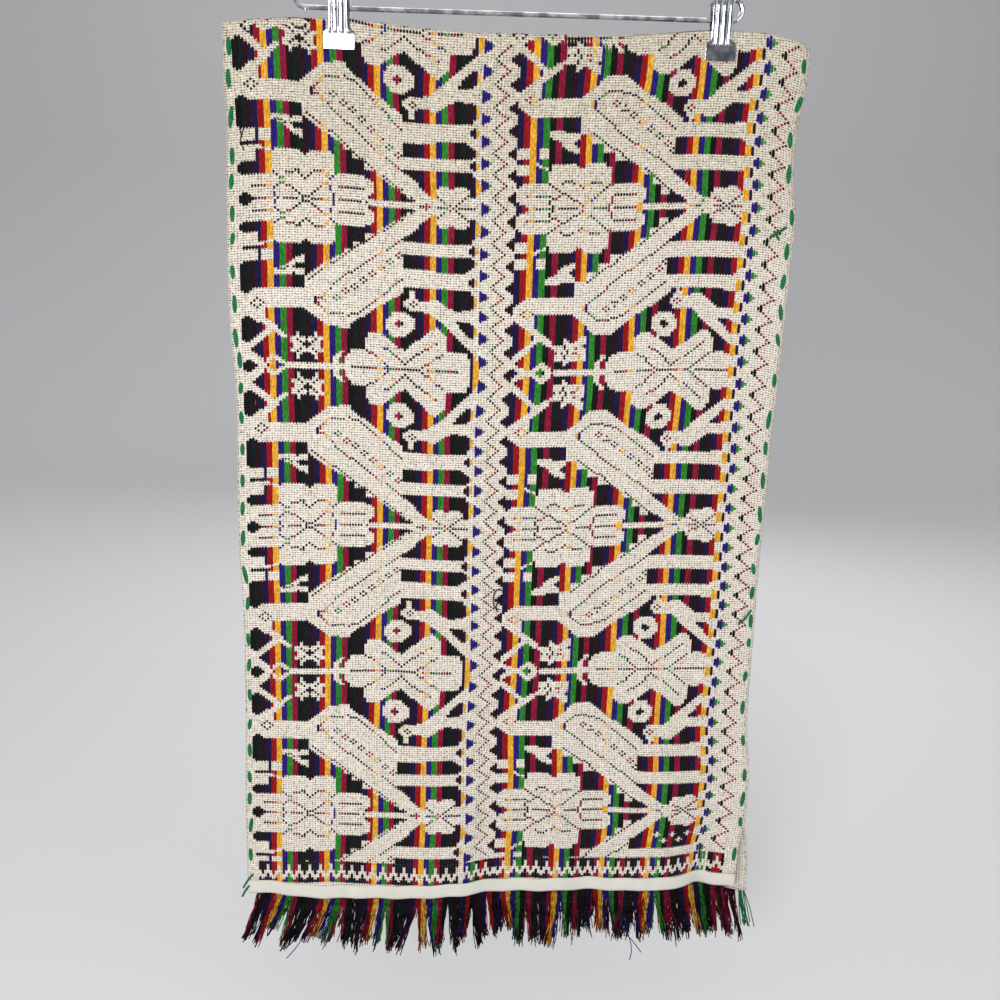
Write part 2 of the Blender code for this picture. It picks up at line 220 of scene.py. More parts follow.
def cloth_points(across, along):
    """Points of the cloth's middle surface. along grows down the front and falls down the back."""
    across, along = np.broadcast_arrays(np.asarray(across, float), np.asarray(along, float))
    radius = fold_radius(across)
    fold_top = BAR_Z - hermite(FOLD_LINE, across)
    quarter = radius * math.pi / 2
    front = along > 0
    length = np.where(front, FRONT_LENGTH, BACK_LENGTH)
    down = np.maximum(np.abs(along) - quarter, 0.0)
    share = down / (length - quarter)
    spread = smoothstep(CLIP_GRIP_DEPTH, CLIP_GRIP_DEPTH + LAYER_SPREAD_LENGTH, down)
    swing = share**HEM_SWING_POWER
    front_y = -(radius + (FRONT_HANG_OFFSET - radius) * spread)
    front_y = front_y - (HEM_SWING + hermite(FRONT_HEM_WAVES, across)) * swing
    front_y = front_y + hermite(FRONT_HEM_CURL, across) * share**HEM_CURL_POWER
    back_y = radius + (BACK_HANG_OFFSET - radius) * spread
    back_y = back_y + hermite(BACK_HEM_WAVES, across) * swing
    front_hem = BAR_Z - FRONT_HEM_DROP + FRONT_HEM_TILT * across
    back_hem = BAR_Z - BACK_HEM_DROP + BACK_HEM_TILT * across
    back_hem = back_hem - BACK_CORNER_DROP * smoothstep(*BACK_CORNER_ENDS, across)
    hem_z = np.where(front, front_hem, back_hem)
    top_z = fold_top - radius
    leftness = np.maximum(0.0, -across / (CLOTH_WIDTH / 2))
    draw_in = LEFT_DRAW_IN * np.sin(math.pi * np.clip(share, 0, 1)) * leftness
    x = CLOTH_CENTRE_X + across + np.where(front, -1, 1) * LAYER_SLANT * down + draw_in
    rightness = across / CLOTH_WIDTH + 0.5
    down_front = np.maximum(along / MM, 0.0)
    stray = hermite(LEFT_SIDE, down_front) * (1 - rightness)
    stray = stray + hermite(RIGHT_SIDE, down_front) * rightness
    stray = stray * MM * (1 - smoothstep(0, FRONT_STRAY_FADE, -along / MM))
    down_back = np.maximum(-along / MM, 0.0)
    stray = stray + hermite(BACK_RIGHT_SIDE, down_back) * MM * rightness
    hanging_y = np.where(front, front_y, back_y)
    hanging = np.stack([x + stray, hanging_y, top_z + (hem_z - top_z) * share], -1)
    turn = np.clip(along / radius, -math.pi / 2, math.pi / 2)
    bent_z = fold_top - radius * (1 - np.cos(turn))
    bent = np.stack([CLOTH_CENTRE_X + across + stray, -radius * np.sin(turn), bent_z], -1)
    return np.where((np.abs(along) <= quarter)[..., None], bent, hanging)


def on_cloth(across, along, lift):
    """Points that stand off the cloth's middle surface by lift, away from the other layer."""
    step = 0.5 * MM
    rightwards = cloth_points(across + step, along) - cloth_points(across - step, along)
    onwards = cloth_points(across, along + step) - cloth_points(across, along - step)
    normal = np.cross(onwards, rightwards)
    normal /= np.linalg.norm(normal, axis=-1, keepdims=True)
    return cloth_points(across, along) + normal * np.asarray(lift)[..., None]


def add_object(name, data):
    obj = bpy.data.objects.new(name, data)
    bpy.context.scene.collection.objects.link(obj)
    return obj


def mesh_piece(name, points, faces, materials, indices=None):
    mesh = bpy.data.meshes.new(name)
    mesh.from_pydata([tuple(p) for p in points], [], [tuple(f) for f in faces])
    for one in materials:
        mesh.materials.append(one)
    if indices is not None:
        mesh.polygons.foreach_set("material_index", np.asarray(indices, np.int32))
    mesh.shade_smooth()
    mesh.update()
    return add_object(name, mesh)


def grid_faces(rows, columns):
    """Quads of a grid whose points are numbered row by row."""
    width = columns + 1
    corner = np.arange(rows)[:, None] * width + np.arange(columns)
    return np.stack([corner, corner + width, corner + width + 1, corner + 1], -1).reshape(-1, 4)


def strip_faces(first, rings, width):
    """Quads of an open strip, each of its rings so many points wide."""
    starts = [first + width * k + m for k in range(rings - 1) for m in range(width - 1)]
    return [(a, a + 1, a + width + 1, a + width) for a in starts]


def tube_faces(first, rings, sides):
    """Quads round a tube, each of its rings with so many sides."""
    faces = []
    for k in range(rings - 1):
        for m in range(sides):
            a, b = first + sides * k + m, first + sides * k + (m + 1) % sides
            faces.append((a, b, b + sides, a + sides))
    return faces


def thicken(obj, thickness):
    solidify = obj.modifiers.new("thickness", "SOLIDIFY")
    solidify.thickness = thickness
    solidify.offset = 0.0


def set_uvs(obj, across, along):
    """UVs in whole columns and picks, one for each vertex."""
    uvs = np.stack([across.ravel() / COLUMN, along.ravel() / PICK], -1)
    layer = obj.data.uv_layers.new(name="weave")
    index = np.zeros(len(obj.data.loops), np.int32)
    obj.data.loops.foreach_get("vertex_index", index)
    layer.data.foreach_set("uv", np.asarray(uvs, np.float32)[index].ravel())


# Materials


class Nodes:
    """A few short calls that build a material's node tree."""

    def __init__(self, name, roughness, metallic=0.0, specular=0.3):
        self.material = bpy.data.materials.new(name)
        self.material.use_nodes = True
        self.tree = self.material.node_tree
        self.shader = self.tree.nodes["Principled BSDF"]
        self.shader.inputs["Roughness"].default_value = roughness
        self.shader.inputs["Metallic"].default_value = metallic
        self.shader.inputs["Specular IOR Level"].default_value = specular

    def link(self, source, target):
        self.tree.links.new(source, target)

    def add(self, first, second):
        return self.math("ADD", first, second)

    def times(self, first, second):
        return self.math("MULTIPLY", first, second)

    def math(self, operation, *values):
        node = self.tree.nodes.new("ShaderNodeMath")
        node.operation = operation
        for socket, value in zip(node.inputs, values):
            if isinstance(value, (int, float)):
                socket.default_value = value
            else:
                self.link(value, socket)
        return node.outputs[0]

    def ramp(self, value, low, high):
        node = self.tree.nodes.new("ShaderNodeMapRange")
        node.interpolation_type = "SMOOTHSTEP"
        node.inputs["From Min"].default_value = low
        node.inputs["From Max"].default_value = high
        self.link(value, node.inputs["Value"])
        return node.outputs["Result"]

    def mix(self, share, first, second):
        node = self.tree.nodes.new("ShaderNodeMix")
        node.data_type = "RGBA"
        if isinstance(share, float):
            node.inputs["Factor"].default_value = share
        else:
            self.link(share, node.inputs["Factor"])
        for socket, colour in ((node.inputs[6], first), (node.inputs[7], second)):
            if isinstance(colour, tuple):
                socket.default_value = (*colour, 1.0)
            else:
                self.link(colour, socket)
        return node.outputs[2]

    def coordinates(self, kind="Object"):
        return self.tree.nodes.new("ShaderNodeTexCoord").outputs[kind]

    def noise(self, scale, detail=2.0, vector=None):
        node = self.tree.nodes.new("ShaderNodeTexNoise")
        node.inputs["Scale"].default_value = scale
        node.inputs["Detail"].default_value = detail
        self.link(vector or self.coordinates(), node.inputs["Vector"])
        return node.outputs["Fac"]

    def split(self, vector):
        node = self.tree.nodes.new("ShaderNodeSeparateXYZ")
        self.link(vector, node.inputs[0])
        return node.outputs[0], node.outputs[1]

    def bump(self, height, distance, strength=1.0):
        node = self.tree.nodes.new("ShaderNodeBump")
        node.inputs["Distance"].default_value = distance
        node.inputs["Strength"].default_value = strength
        self.link(height, node.inputs["Height"])
        self.link(node.outputs["Normal"], self.shader.inputs["Normal"])

    def colour(self, socket):
        self.link(socket, self.shader.inputs["Base Color"])


def cream_weave():
    """Thick cream picks over the warp, with painted shade: dark brown in the small gaps where warp and pick
    cross, and a darker furrow between picks.
    """
    made = Nodes("cream_weave", roughness=0.92, specular=0.12)
    u, v = made.split(made.coordinates("UV"))
    from_fold = made.math("ABSOLUTE", v)
    u = made.add(u, made.times(made.noise(260.0, 1.0), 0.55))
    v = made.add(v, made.times(made.noise(330.0, 1.0), 0.6))

    def to_crossing(value, scale):
        off = made.math("SUBTRACT", made.math("FRACT", value), 0.5)
        away = made.math("SUBTRACT", 0.5, made.math("ABSOLUTE", off))
        return made.math("DIVIDE", away, scale)

    across, down = to_crossing(u, 0.30), to_crossing(v, 0.28)
    square = made.add(made.times(across, across), made.times(down, down))
    uneven = made.noise(430.0, 3.0)
    reach = made.add(made.math("SQRT", square), made.times(uneven, 3.0))
    # Mask of the gaps at the crossings, sunk by the bump and given painted shade below
    gap = made.ramp(reach, 2.55, 1.50)
    furrow = made.ramp(down, 0.9, 0.0)
    grain = made.ramp(made.noise(620.0, 4.0), 0.30, 0.70)
    fibre = made.mix(grain, (0.34, 0.29, 0.22), (0.86, 0.80, 0.70))
    # Large soft blotches, with the whole cream darker and yellower near the fold, easing off over the first
    # 120 picks
    blotches_lower_down = made.mix(made.noise(9.0, 3.0), (0.60, 0.545, 0.47), (0.73, 0.675, 0.60))
    blotches_near_fold = made.mix(made.noise(9.0, 3.0), (0.42, 0.37, 0.28), (0.53, 0.475, 0.37))
    blotches_by_fold = made.mix(made.ramp(from_fold, 10.0, 120.0), blotches_near_fold, blotches_lower_down)
    body = made.mix(0.55, fibre, blotches_by_fold)
    # Painted shade along the furrows between picks
    shaded = made.mix(made.times(furrow, 0.30), body, (0.28, 0.23, 0.17))
    # Painted shade: the gaps at the crossings are coloured dark brown
    made.colour(made.mix(gap, shaded, (0.085, 0.064, 0.048)))
    height = made.math("SUBTRACT", made.times(uneven, 0.6), made.times(furrow, 0.4))
    made.bump(made.math("SUBTRACT", height, made.times(gap, 0.8)), 0.6 * MM)
    return made.material


def yarn(name, colour):
    """Loosely plied cotton, streaked a little lighter and darker along its length and in soft patches."""
    made = Nodes("yarn_" + name, roughness=0.8, specular=0.12)
    dark = tuple(c * 0.30 for c in colour)
    light = tuple(min(1.0, c * 1.30 + 0.001) for c in colour)
    streaks = made.tree.nodes.new("ShaderNodeMapping")
    streaks.inputs["Scale"].default_value = (1.0, 1.0, 0.20)
    made.link(made.coordinates(), streaks.inputs["Vector"])
    strands = made.ramp(made.noise(1500.0, 2.0, streaks.outputs[0]), 0.30, 0.66)
    patches = made.noise(160.0, 2.0)
    made.colour(made.mix(made.add(made.times(strands, 0.6), made.times(patches, 0.4)), dark, light))
    made.bump(strands, 0.5 * MM)
    return made.material


def tape():
    made = Nodes("woven_tape", roughness=0.9, specular=0.15)
    u, v = made.split(made.coordinates("UV"))
    ribs = made.math("ABSOLUTE", made.math("SINE", made.times(u, 3 * math.pi)))
    picks = made.math("ABSOLUTE", made.math("SINE", made.times(v, 4 * math.pi)))
    made.colour(made.mix(made.noise(60.0, 4.0), (0.72, 0.69, 0.60), (0.86, 0.84, 0.77)))
    made.bump(made.add(ribs, picks), 0.25 * MM)
    return made.material


def chrome():
    """Bright plate with a soft haze of handling marks."""
    made = Nodes("bright_chrome", roughness=0.12, metallic=1.0)
    smudge = made.ramp(made.noise(90.0, 5.0), 0.38, 0.62)
    made.colour(made.mix(smudge, (0.24, 0.25, 0.28), (0.60, 0.61, 0.64)))
    marks = made.tree.nodes.new("ShaderNodeMapRange")
    marks.inputs["To Min"].default_value = 0.06
    marks.inputs["To Max"].default_value = 0.24
    made.link(made.noise(180.0, 6.0), marks.inputs["Value"])
    made.link(marks.outputs["Result"], made.shader.inputs["Roughness"])
    return made.material


# The chart, in columns from the panel's left and rows from the flower's axis


def outline(text):
    """Points from text such as "2.5,-1 4,0": a column and a row each."""
    return tuple(tuple(map(float, pair.split(","))) for pair in text.split())


def polygon(text):
    """An outline's points. Two points are the corners of a block."""
    points = outline(text)
    if len(points) == 2:
        (left, low), (right, high) = points
        return (left, low), (right, low), (right, high), (left, high)
    return points


LEFT_CREAM = (
    # big flower and its stem
    "-1,3.2 0,2.6 1.2,1.4 2.6,.4 2.6,-1 9.6,-1 9.6,10 .5,10 -1,9",
    "9.2,-1 9.2,17 11,19 17.2,19 19.6,16 22,19 27.2,19 29.4,17 29.4,-1",
    "29,-1 29,10.3 38.4,10.5 40,9.6 41.8,8 41.9,4.5 40.3,2 39,1.4 39,-1",
    "38.5,-1 56.4,1.4",
    # large bird
    "56,-1 56,.8 51.3,4.8 46.9,8.2 43,11 43,12.3 39.3,12.3 39.3,16.3 34.7,16.3 34.7,20 31.9,20 "
    "31.9,21.6 29,23.2 27,25 23,27.6 21,30.6 19,31.2 19.1,36.9 2.6,36.9 -1,40.5 -1,46.8 6.9,54.2 "
    "12.4,59.3 12.8,57.3 8.8,51.8 6.2,49.6 5.9,45.4 "
    "18.6,45.4 22,48.5 24.5,51.6 26.6,53.8 33.4,54.2 35.2,52.2 40,47.6 44,44.2 47.5,41.6 51.5,39 "
    "51.8,14.4 53.6,12 57,8.6 60.4,4.2 62,3.6 63.4,4 63.4,-1",
    # tail feathers
    "51.5,14.4 74.2,14.4 76,12.4 76,22.4 74.4,20.9 51.5,20.9",
    "51.5,26.9 73,27.1 74.6,25.7 76,24 76,38 74.6,35.6 51.5,35.4",
    # small flower
    "63.2,-1 63.2,7.6 64,8.4 66.5,8.4 68,6.6 69.2,8.5 73,8.7 74.2,6.8 74.2,-1",
    "74,-1 76,4.6",
    # ring
    "49,46.3 52.6,46.3 55.6,49.9 55.6,54.3 52.6,57.9 49,57.9 46,54.3 46,49.9",
    # small bird
    "54.2,40.1 56.3,40.1 58,42 58,44.2 56.3,46 54.2,46 52.4,44.2 52.4,42",
    "54.2,36.6 56.1,36.6 56.3,42 53.8,42",
    "54,40.6 57,41.6 59,41.9 61.5,40.8 62.5,40.2 63.9,41.3 66.9,43.8 68.8,45.2 73.5,44.9 76,43 76,62.8 "
    "72.9,59.8 70.7,57.6 68.8,55.7 66.6,53.6 63.9,51 62.8,49.6 60.9,48.2 58.7,46.9 53.8,46.4",
    # round flower, its stem and leaf
    "32.4,72 32.4,66 34,63.5 35.2,62.3 38.8,62 39,57.8 40.7,55.6 44.2,55.1 46.1,57 48.3,59 52,62.4 "
    "56,59.3 58.4,57.5 62,54.4 63.6,53.9 66.1,55.8 67,57.4 67,62.3 68.8,62.6 73.2,62.5 74.7,64.8 74.7,72",
    "13.5,68.8 33,72",
    "28,66.5 31,62.4 31.8,64.2 29.4,68.5 28.2,69.4",
    # star
    "16.4,55.4 17.6,57.6 19.5,58.4 21.3,57.6 22.6,55 22.9,58 25.2,58 24.6,59.8 23.4,61.3 24.6,62.8 "
    "25.2,64.6 22.9,64.6 22.6,67.4 21.3,65.2 19.5,64.2 17.6,65.2 16.4,67.2 16.1,64.6 13.6,64.6 "
    "14.3,62.8 15.4,61.3 14.3,59.8 13.6,58 16.1,58",
    # zigzag and lozenge
    "6.9,53.4 8.4,55.4 1.5,62.4 -1,64.4 -1,60.4",
    "-1,61.6 .6,62 4.8,67 4.8,71 3.6,71 -1,65.8",
    "4.2,71 4.2,69.6 7.7,65.6 9.2,65.6 13.6,69.2 13.6,71",
    # blocks and leaf beside the bird's neck
    "-1,13.4 3.8,19.2",
    "-1,20.6 3.8,25.2",
    "4.8,20.6 9.2,25.6",
    "3.6,18.2 8.6,16.4 8.8,18 5,19.5 3.6,20.6",
    "9.3,29 11,28 13,27 15,25.4 16.5,24 19,21.8 19,26.4 16.3,26.8 15.5,28.6 18.8,28.6 19.2,31.2 "
    "15.5,31 13,31.8 9.5,31.6",
)
LEFT_FLOAT = (
    "49,52.1 50.6,50.6 52,52.1 50.6,53.7",
    "73.4,17.6 76,15.2 76,20",
    "73.4,31.2 76,28.8 76,33.6",
    "21.8,40.6 23.2,43.4",
    "17.7,61.3 19.5,60 21.3,61.3 19.5,62.6",
    "69,50 73.4,50.1 75.7,51.4 75.7,57 74.3,56 71.3,52.9",
    "6,71 6,70 8.3,67.6 11.6,70 11.6,71",
)
LEFT_DOTS = (
    # big flower
    "2.2,0 8.6,0", "2.2,5.2 8.6,5.2", "10.5,0 9.4,2.5 10.5,4.8 12.4,6.4", "12.4,6.3 19.4,.6 26,6.4",
    "12,7.6 10.5,8.9 9.3,10", "13.4,9.6 16,10.9 17.2,10.6 19.4,8 22,10.6 25.4,10.7 27.2,8",
    "12.8,0 18,0", "21.3,0 26.2,0", "27.2,4.8 28.4,2.4 28.1,0", "27.4,8 29.2,9.7", "30.5,0 39,0",
    "30.5,5.2 38.6,5.2", "57,0 60,0",
    # small flower
    "63.6,0 65.4,0", "70,0 75,0", "69.2,.8 73.4,4.8", "65.8,2.2 63.4,4.4",
    # large bird's wing
    "55.2,2.2 51.8,5.6 47.4,9 43.4,12.2 39.4,15.8 34.6,19.6 29.4,24.6 24.6,29.2 20.4,32.6",
    "52,13 46,18.8 39.7,24.8 31.9,32.4 25,39.6 22.3,42.4 24.8,45.4 26.5,48 33,48.6 36,47.6",
    "51.8,31.7 47,36.6 41,42.9 36,47.6",
    # round flower
    "39.4,62.8 43,66 47.4,70", "45.5,61.6 52.2,67.6 57,63.6 63,59.6", "57.8,70 61.5,66.8 65.4,63.8",
    "34.4,70.4 57,70.4", "60.5,70.4 70.5,70.4",
    # star, blocks and leaf
    "16.4,58.6 17.6,60", "22.6,58.6 21.6,60", "16.4,64 17.6,62.6", "22.6,64 21.6,62.6",
    ".8,19.8 4,19.8", "10.5,29.4 15,28",
)
LEFT_DIAMONDS = outline(
    "50.4,20.9 47.9,24 44.8,27 41.7,30.1 38.7,32.8 35.6,35.6 32.6,38.4 29.6,41.2 67.8,0 55.3,42.8 59.9,0"
)
LEFT_EYE = (3.2, 42.8)

RIGHT_CREAM = (
    # big flower and its stem
    "4,-1 4,0 1.8,1.8 0,3 -1,3.2 -1,8.2 .5,8.6 2,10 10.5,10.2 10.5,-1",
    "10.3,-1 10.3,15 11,17.5 11.8,18.7 18.2,18.7 20.8,16.1 23,18.6 28,18.7 29.5,16.8 31.2,15.8 31.3,-1",
    "31,-1 31,9.9 40,10 41.5,9 43,7 43.2,3.5 42.4,1.8 41.8,1.2 41.8,-1",
    "41.5,-1 57.6,1.3",
    # large bird
    "57.6,-1 57.6,1.4 51.3,6.9 51.2,4.9 48.5,4.9 48.5,8.6 44.6,8.9 44.5,12.5 42.3,12.5 40,16 36.5,18.7 "
    "32.5,18.8 32.4,22.8 28.2,22.8 28,26.8 24,26.8 24,30.6 20,30.6 20.2,37.2 4,37.6 .3,41.6 -1,42 -1,48 "
    ".4,48.7 7.7,55.7 11,59 13.9,60.5 13.9,58.5 10,54 7.4,51.1 7.4,45.9 19.9,46 22,48 24,50.4 25.6,52.2 "
    "28,54.6 33.4,54.5 37.9,49.7 41.5,46.7 45.5,43.5 48.5,41.4 51,39 53.5,36.6 54.5,34.6 52.5,34.5 "
    "52.5,14 55.8,10.4 58,8 60.2,5.5 62.4,3.3 65.1,3.6 65.1,-1",
    # tail feathers
    "52,14.5 75.5,14.6 77,12.5 77,24 75.5,22 52,22",
    "52,28.5 74,29 76,27.5 77,26 77,36 75,35.2 66,34.6 52,34.6",
    # small flower
    "65,-1 65.1,3.6 66,7 67.9,8.2 70.3,7.4 73.3,9 75,7.5 75.8,5.5 77,4 77,-1",
    # ring
    "50.6,44.1 54.2,44.1 56.8,47.7 56.8,51.9 54.2,55.5 50.6,55.5 48,51.9 48,47.7",
    # small bird
    "55.6,36.7 58,36.7 59.5,38.7 59.5,41.3 58,43.3 55.6,43.3 54.1,41.3 54.1,38.7",
    "55.8,34 57.4,34.2 57.6,37 55.8,37",
    "58.9,37.4 61.4,37 62.8,36 64.5,36.3 66.4,38.4 68.1,40.5 69.8,41.9 73.1,43 77,42.8 77,60 75.5,58.1 "
    "73.2,56.3 71,53.9 69.1,51.8 67.1,49.6 64.9,47.5 62.6,44.7 60.4,43.1 56.5,43 54.8,42.3 54.4,40",
    # round flower, its stem and crescent leaf
    "32.4,72 32.4,66 33.6,63.4 35.5,62.2 37.6,61.8 41.6,61.8 42.6,55.3 44.6,53.5 47,53.5 49.3,55 51.4,56.7 "
    "56.1,61.3 60.9,56.7 65.6,52.1 67.3,52.1 70.1,56 70.2,61.3 72.6,61.4 75.3,62.3 77,64.8 77,72",
    "13.8,68.8 33,72",
    "28.3,69 28.5,66 30.5,62.6 31.5,62.2 31.6,64.5 29.8,66.5 29.5,69",
    # star
    "16.6,54.4 18.5,56.5 20,58 21.6,56.8 23,55 25.2,55 25.2,58.5 23.5,58.8 25.3,60 25.3,65 23.4,65.2 "
    "21.5,66 19.5,65.5 18,67.5 16.7,67.8 16.7,65.3 14.2,65.3 14.2,58.8 16.7,58.8",
    # zigzag and lozenge
    "7.7,55.2 9,57 2.3,65 0,66 -1,66 -1,62.5 .5,62.7",
    "-1,64 1.9,66.8 5.3,69 5.3,71 3,70.5 -1,67",
    "5.3,69 7.2,67.7 9.3,65.6 10.5,65.8 14,69.6 14,72 12,71 9.4,68.6 7,70.6 5.3,71",
    # blocks and leaf beside the bird's neck
    "0,14 4,18.5",
    "0,21 4.2,26",
    "6.6,21 10.5,26",
    "6.4,17.5 9.6,15.6 10,16.8 8,18.4 6.4,19.4",
    "9.8,29.5 12,28.8 14,26.5 17,23.5 20,21.8 20,25.5 18,27.5 20,28.6 20,31 15,32 10,33",
)
RIGHT_FLOAT = (
    "51.2,49.2 51.9,48.6 52.9,48.6 53.6,49.2 53.6,50.6 52.9,51.2 51.9,51.2 51.2,50.6",
    "70.5,47.6 73,47.6 77,48.5 76.8,55.2 75,53.5 73.5,51",
    "40.4,-1 41.8,1.3",
    "22.8,41.2 24.6,43.9",
)
RIGHT_DOTS = (
    # big flower
    "4,0 10,0", "13,0 19.6,0", "25,0 29.6,0", "32,0 41,0", "3.7,5.3 10.3,5.3", "32,5.3 39.8,5.3",
    "11,4.2 10.4,2.4 11.6,0", "30.3,0 31.4,1.6 31.4,3.6", "10.7,9.9 15.8,5.6 21.3,1 26,5 31.1,9.4",
    "12,4.4 14,6.5", "14.8,9.9 15.8,10.8 17.8,10.8 21.1,8 25,10.5 27.5,9.5", "58,0 60,0", "61.4,.4 62,1.8",
    # small flower
    "66.7,0 68.5,0", "72.3,0 76,0", "66,3.3 70.2,0 75,5.2",
    # large bird's wing
    "50.5,7 42,15", "38.9,17 24.2,31",
    "53.3,13.6 35.8,29 25.3,40 23.5,42.5 25,45 28.4,47.7 34.3,47.4 37.1,46 51.4,32",
    # round flower
    "47.2,59.7 55.9,67.6 66.2,58.3", "43.2,62.7 50.7,69.7", "61.5,70 70,62.2", "35,70.4 41,70.4",
    "43,70.4 48,70.4", "50.2,70.4 55,70.4", "56,70.4 61,70.4", "64,70.4 75,70.4",
    # star and blocks
    "17,59.3 18.9,61.2 17.2,64.2", "23,59.4 20.8,61.6 22.8,64.2", "14.6,62 16,62", "2,20.2 4.4,20.2",
)
RIGHT_DIAMONDS = outline(
    "51.5,23.4 49,26.4 46.4,29.3 43.6,32.1 40.6,34.9 37.7,37.7 34.4,40.5 31.2,43.3 56.7,40"
)
RIGHT_EYE = (4.2, 45.0)

CREAM, FLOAT, DOT = 0, 1, 2


def inside(shape, columns, rows):
    """Which cells' middles lie in a polygon."""
    found = np.zeros(columns.shape, bool)
    for (x0, y0), (x1, y1) in zip(shape, shape[1:] + shape[:1]):
        if y0 == y1:
            continue
        crosses = (rows < y0) != (rows < y1)
        found ^= crosses & (columns < x0 + (rows - y0) * (x1 - x0) / (y1 - y0))
    return found


def mark_line(chart, points):
    """A dot in every column or row along a line, whichever there are more of."""
    for (c0, r0), (c1, r1) in zip(points, points[1:]):
        steps = max(1, round(max(abs(c1 - c0), abs(r1 - r0))))
        for k in range(steps + 1):
            c = math.floor(c0 + (c1 - c0) * k / steps)
            r = int(round(r0 + (r1 - r0) * k / steps))
            if 0 <= r < chart.shape[0] and 0 <= c < chart.shape[1] and chart[r, c] == CREAM:
                chart[r, c] = DOT


def half_repeat_chart(cream, floats, dots, diamonds, eye):
    """A panel's half repeat as a table of kinds, filled in from its outlines."""
    rows, columns = np.mgrid[0:71, 0:PANEL_COLUMNS]
    chart = np.full(rows.shape, FLOAT)
    for shapes, kind in ((cream, CREAM), (floats, FLOAT)):
        for text in shapes:
            chart[inside(polygon(text), columns + 0.5, rows + 0.01)] = kind
    for text in dots:
        mark_line(chart, outline(text))
    for c, r in diamonds:
        for dc, dr in ((-1, 0), (1, 0), (0, -1), (0, 1)):
            mark_line(chart, ((c + dc, r + dr), (c + dc, r + dr)))
    for turn in np.arange(8) * math.pi / 4:
        at = (eye[0] + round(2 * math.cos(turn)), eye[1] + round(2 * math.sin(turn)))
        mark_line(chart, (at, at))
    return chart


LAST_AXIS_PICK = 348
HEM_FLOAT_ROWS = (14, 19)
HEM_FLOAT_COLUMN = 51
HEM_BAR_ROWS = (19, 24)
HEM_CROSSES = ((61, 12), (67, 12), (73, 12), (64, 15), (70, 15))


def hem_chart(chart):
    """The right panel's figures nearest the hem: a broad float with small cream crosses."""
    changed = chart.copy()
    changed[HEM_FLOAT_ROWS[0]:HEM_FLOAT_ROWS[1], HEM_FLOAT_COLUMN:] = FLOAT
    changed[HEM_BAR_ROWS[0]:HEM_BAR_ROWS[1], HEM_FLOAT_COLUMN:] = CREAM
    for c, r in HEM_CROSSES:
        changed[r, c - 1:c + 2] = CREAM
        changed[r - 1:r + 2, c] = CREAM
    return changed


def repeat_row(pick):
    """The chart row that a pick shows: the figures mirror about both flowers' axes."""
    period = 2 * HALF_REPEAT
    away = abs((pick - FLOWER_AXIS_PICK + HALF_REPEAT) % period - HALF_REPEAT)
    return int(min(70, round(away)))


# Each border column: yarn, kind, half its tooth, how far below the blue one, how far doubled, in picks
HALF_TOOTH = TEETH_PERIOD / 2
MIDDLE_BORDER = (
    (None, CREAM, 0, 0, 0),
    (None, CREAM, 0, 0, 0),
    ("blue", FLOAT, 2.4, 0, 0),
    ("blue", FLOAT, 1.6, 0, 0),
    ("blue", FLOAT, 1.2, 0, 0),
    ("green", DOT, 0.5, 0, 0),
    ("green", DOT, 0.4, HALF_TOOTH, 0),
    ("black", DOT, 0.5, HALF_TOOTH, 0.95),
    ("black", DOT, 0.5, HALF_TOOTH, 1.9),
    ("red", DOT, 0.5, HALF_TOOTH, 2.85),
    ("red", DOT, 0.5, HALF_TOOTH, 3.8),
    ("black", DOT, 0.5, 0, 0),
    ("plum", FLOAT, 0.7, HALF_TOOTH + 0.5, 0),
    ("plum", FLOAT, 1.5, HALF_TOOTH + 0.5, 0),
    ("plum", FLOAT, 2.5, HALF_TOOTH + 0.5, 0),
)
RIGHT_BORDER = (
    ("yellow", FLOAT, 2.4, HALF_TOOTH, 0),
    ("yellow", FLOAT, 1.8, HALF_TOOTH, 0),
    ("navy", FLOAT, 1.8, HALF_TOOTH, 0),
    ("blue", FLOAT, 1.5, 0.4, 0),
    ("blue", FLOAT, 2.3, 0.4, 0),
    ("green", FLOAT, 1.2, 0.4, 0),
    ("green", DOT, 0.6, 0.4, 0),
    (None, CREAM, 0, 0, 0),
    ("black", DOT, 0.8, HALF_TOOTH, 0),
    ("black", FLOAT, 1.4, HALF_TOOTH, 0),
    ("red", DOT, 0.5, HALF_TOOTH, 1.9),
    ("red", DOT, 0.5, HALF_TOOTH, 2.85),
    ("crimson", DOT, 0.5, HALF_TOOTH, 3.8),
    ("black", DOT, 0.5, 0.2, 0),
)
# Inverted triangles over small trees along the hem: four columns wide, one line to a pick
HEM_MOTIF = ("####", "###.", "###.", "###.", ".#..", ".#..", "...#", "...#", "#.##", "####")


def add_run(runs, left, right, start, stop, yarn_name, kind):
    runs.append((left, right, start, stop, YARN_NAMES.index(yarn_name), kind))


def add_column(runs, left, right, picks, kinds, name):
    """One warp column's floats and dots, from the kind of each of its picks."""
    begun = None
    for k, kind in enumerate([*kinds, CREAM]):
        if kind == FLOAT and begun is None:
            begun = k
        if kind != FLOAT and begun is not None:
            add_run(runs, left, right, picks[begun], picks[k - 1] + 1, name, FLOAT)
            begun = None
        if kind == DOT:
            add_run(runs, left, right, picks[k], picks[k] + 1, name, DOT)


def stripe_name(panel, column):
    """The yarn of a panel's warp column: each stripe is two columns wide."""
    stripes, offset = panel[2:]
    return stripes[(column - offset) // 2 % len(stripes)]


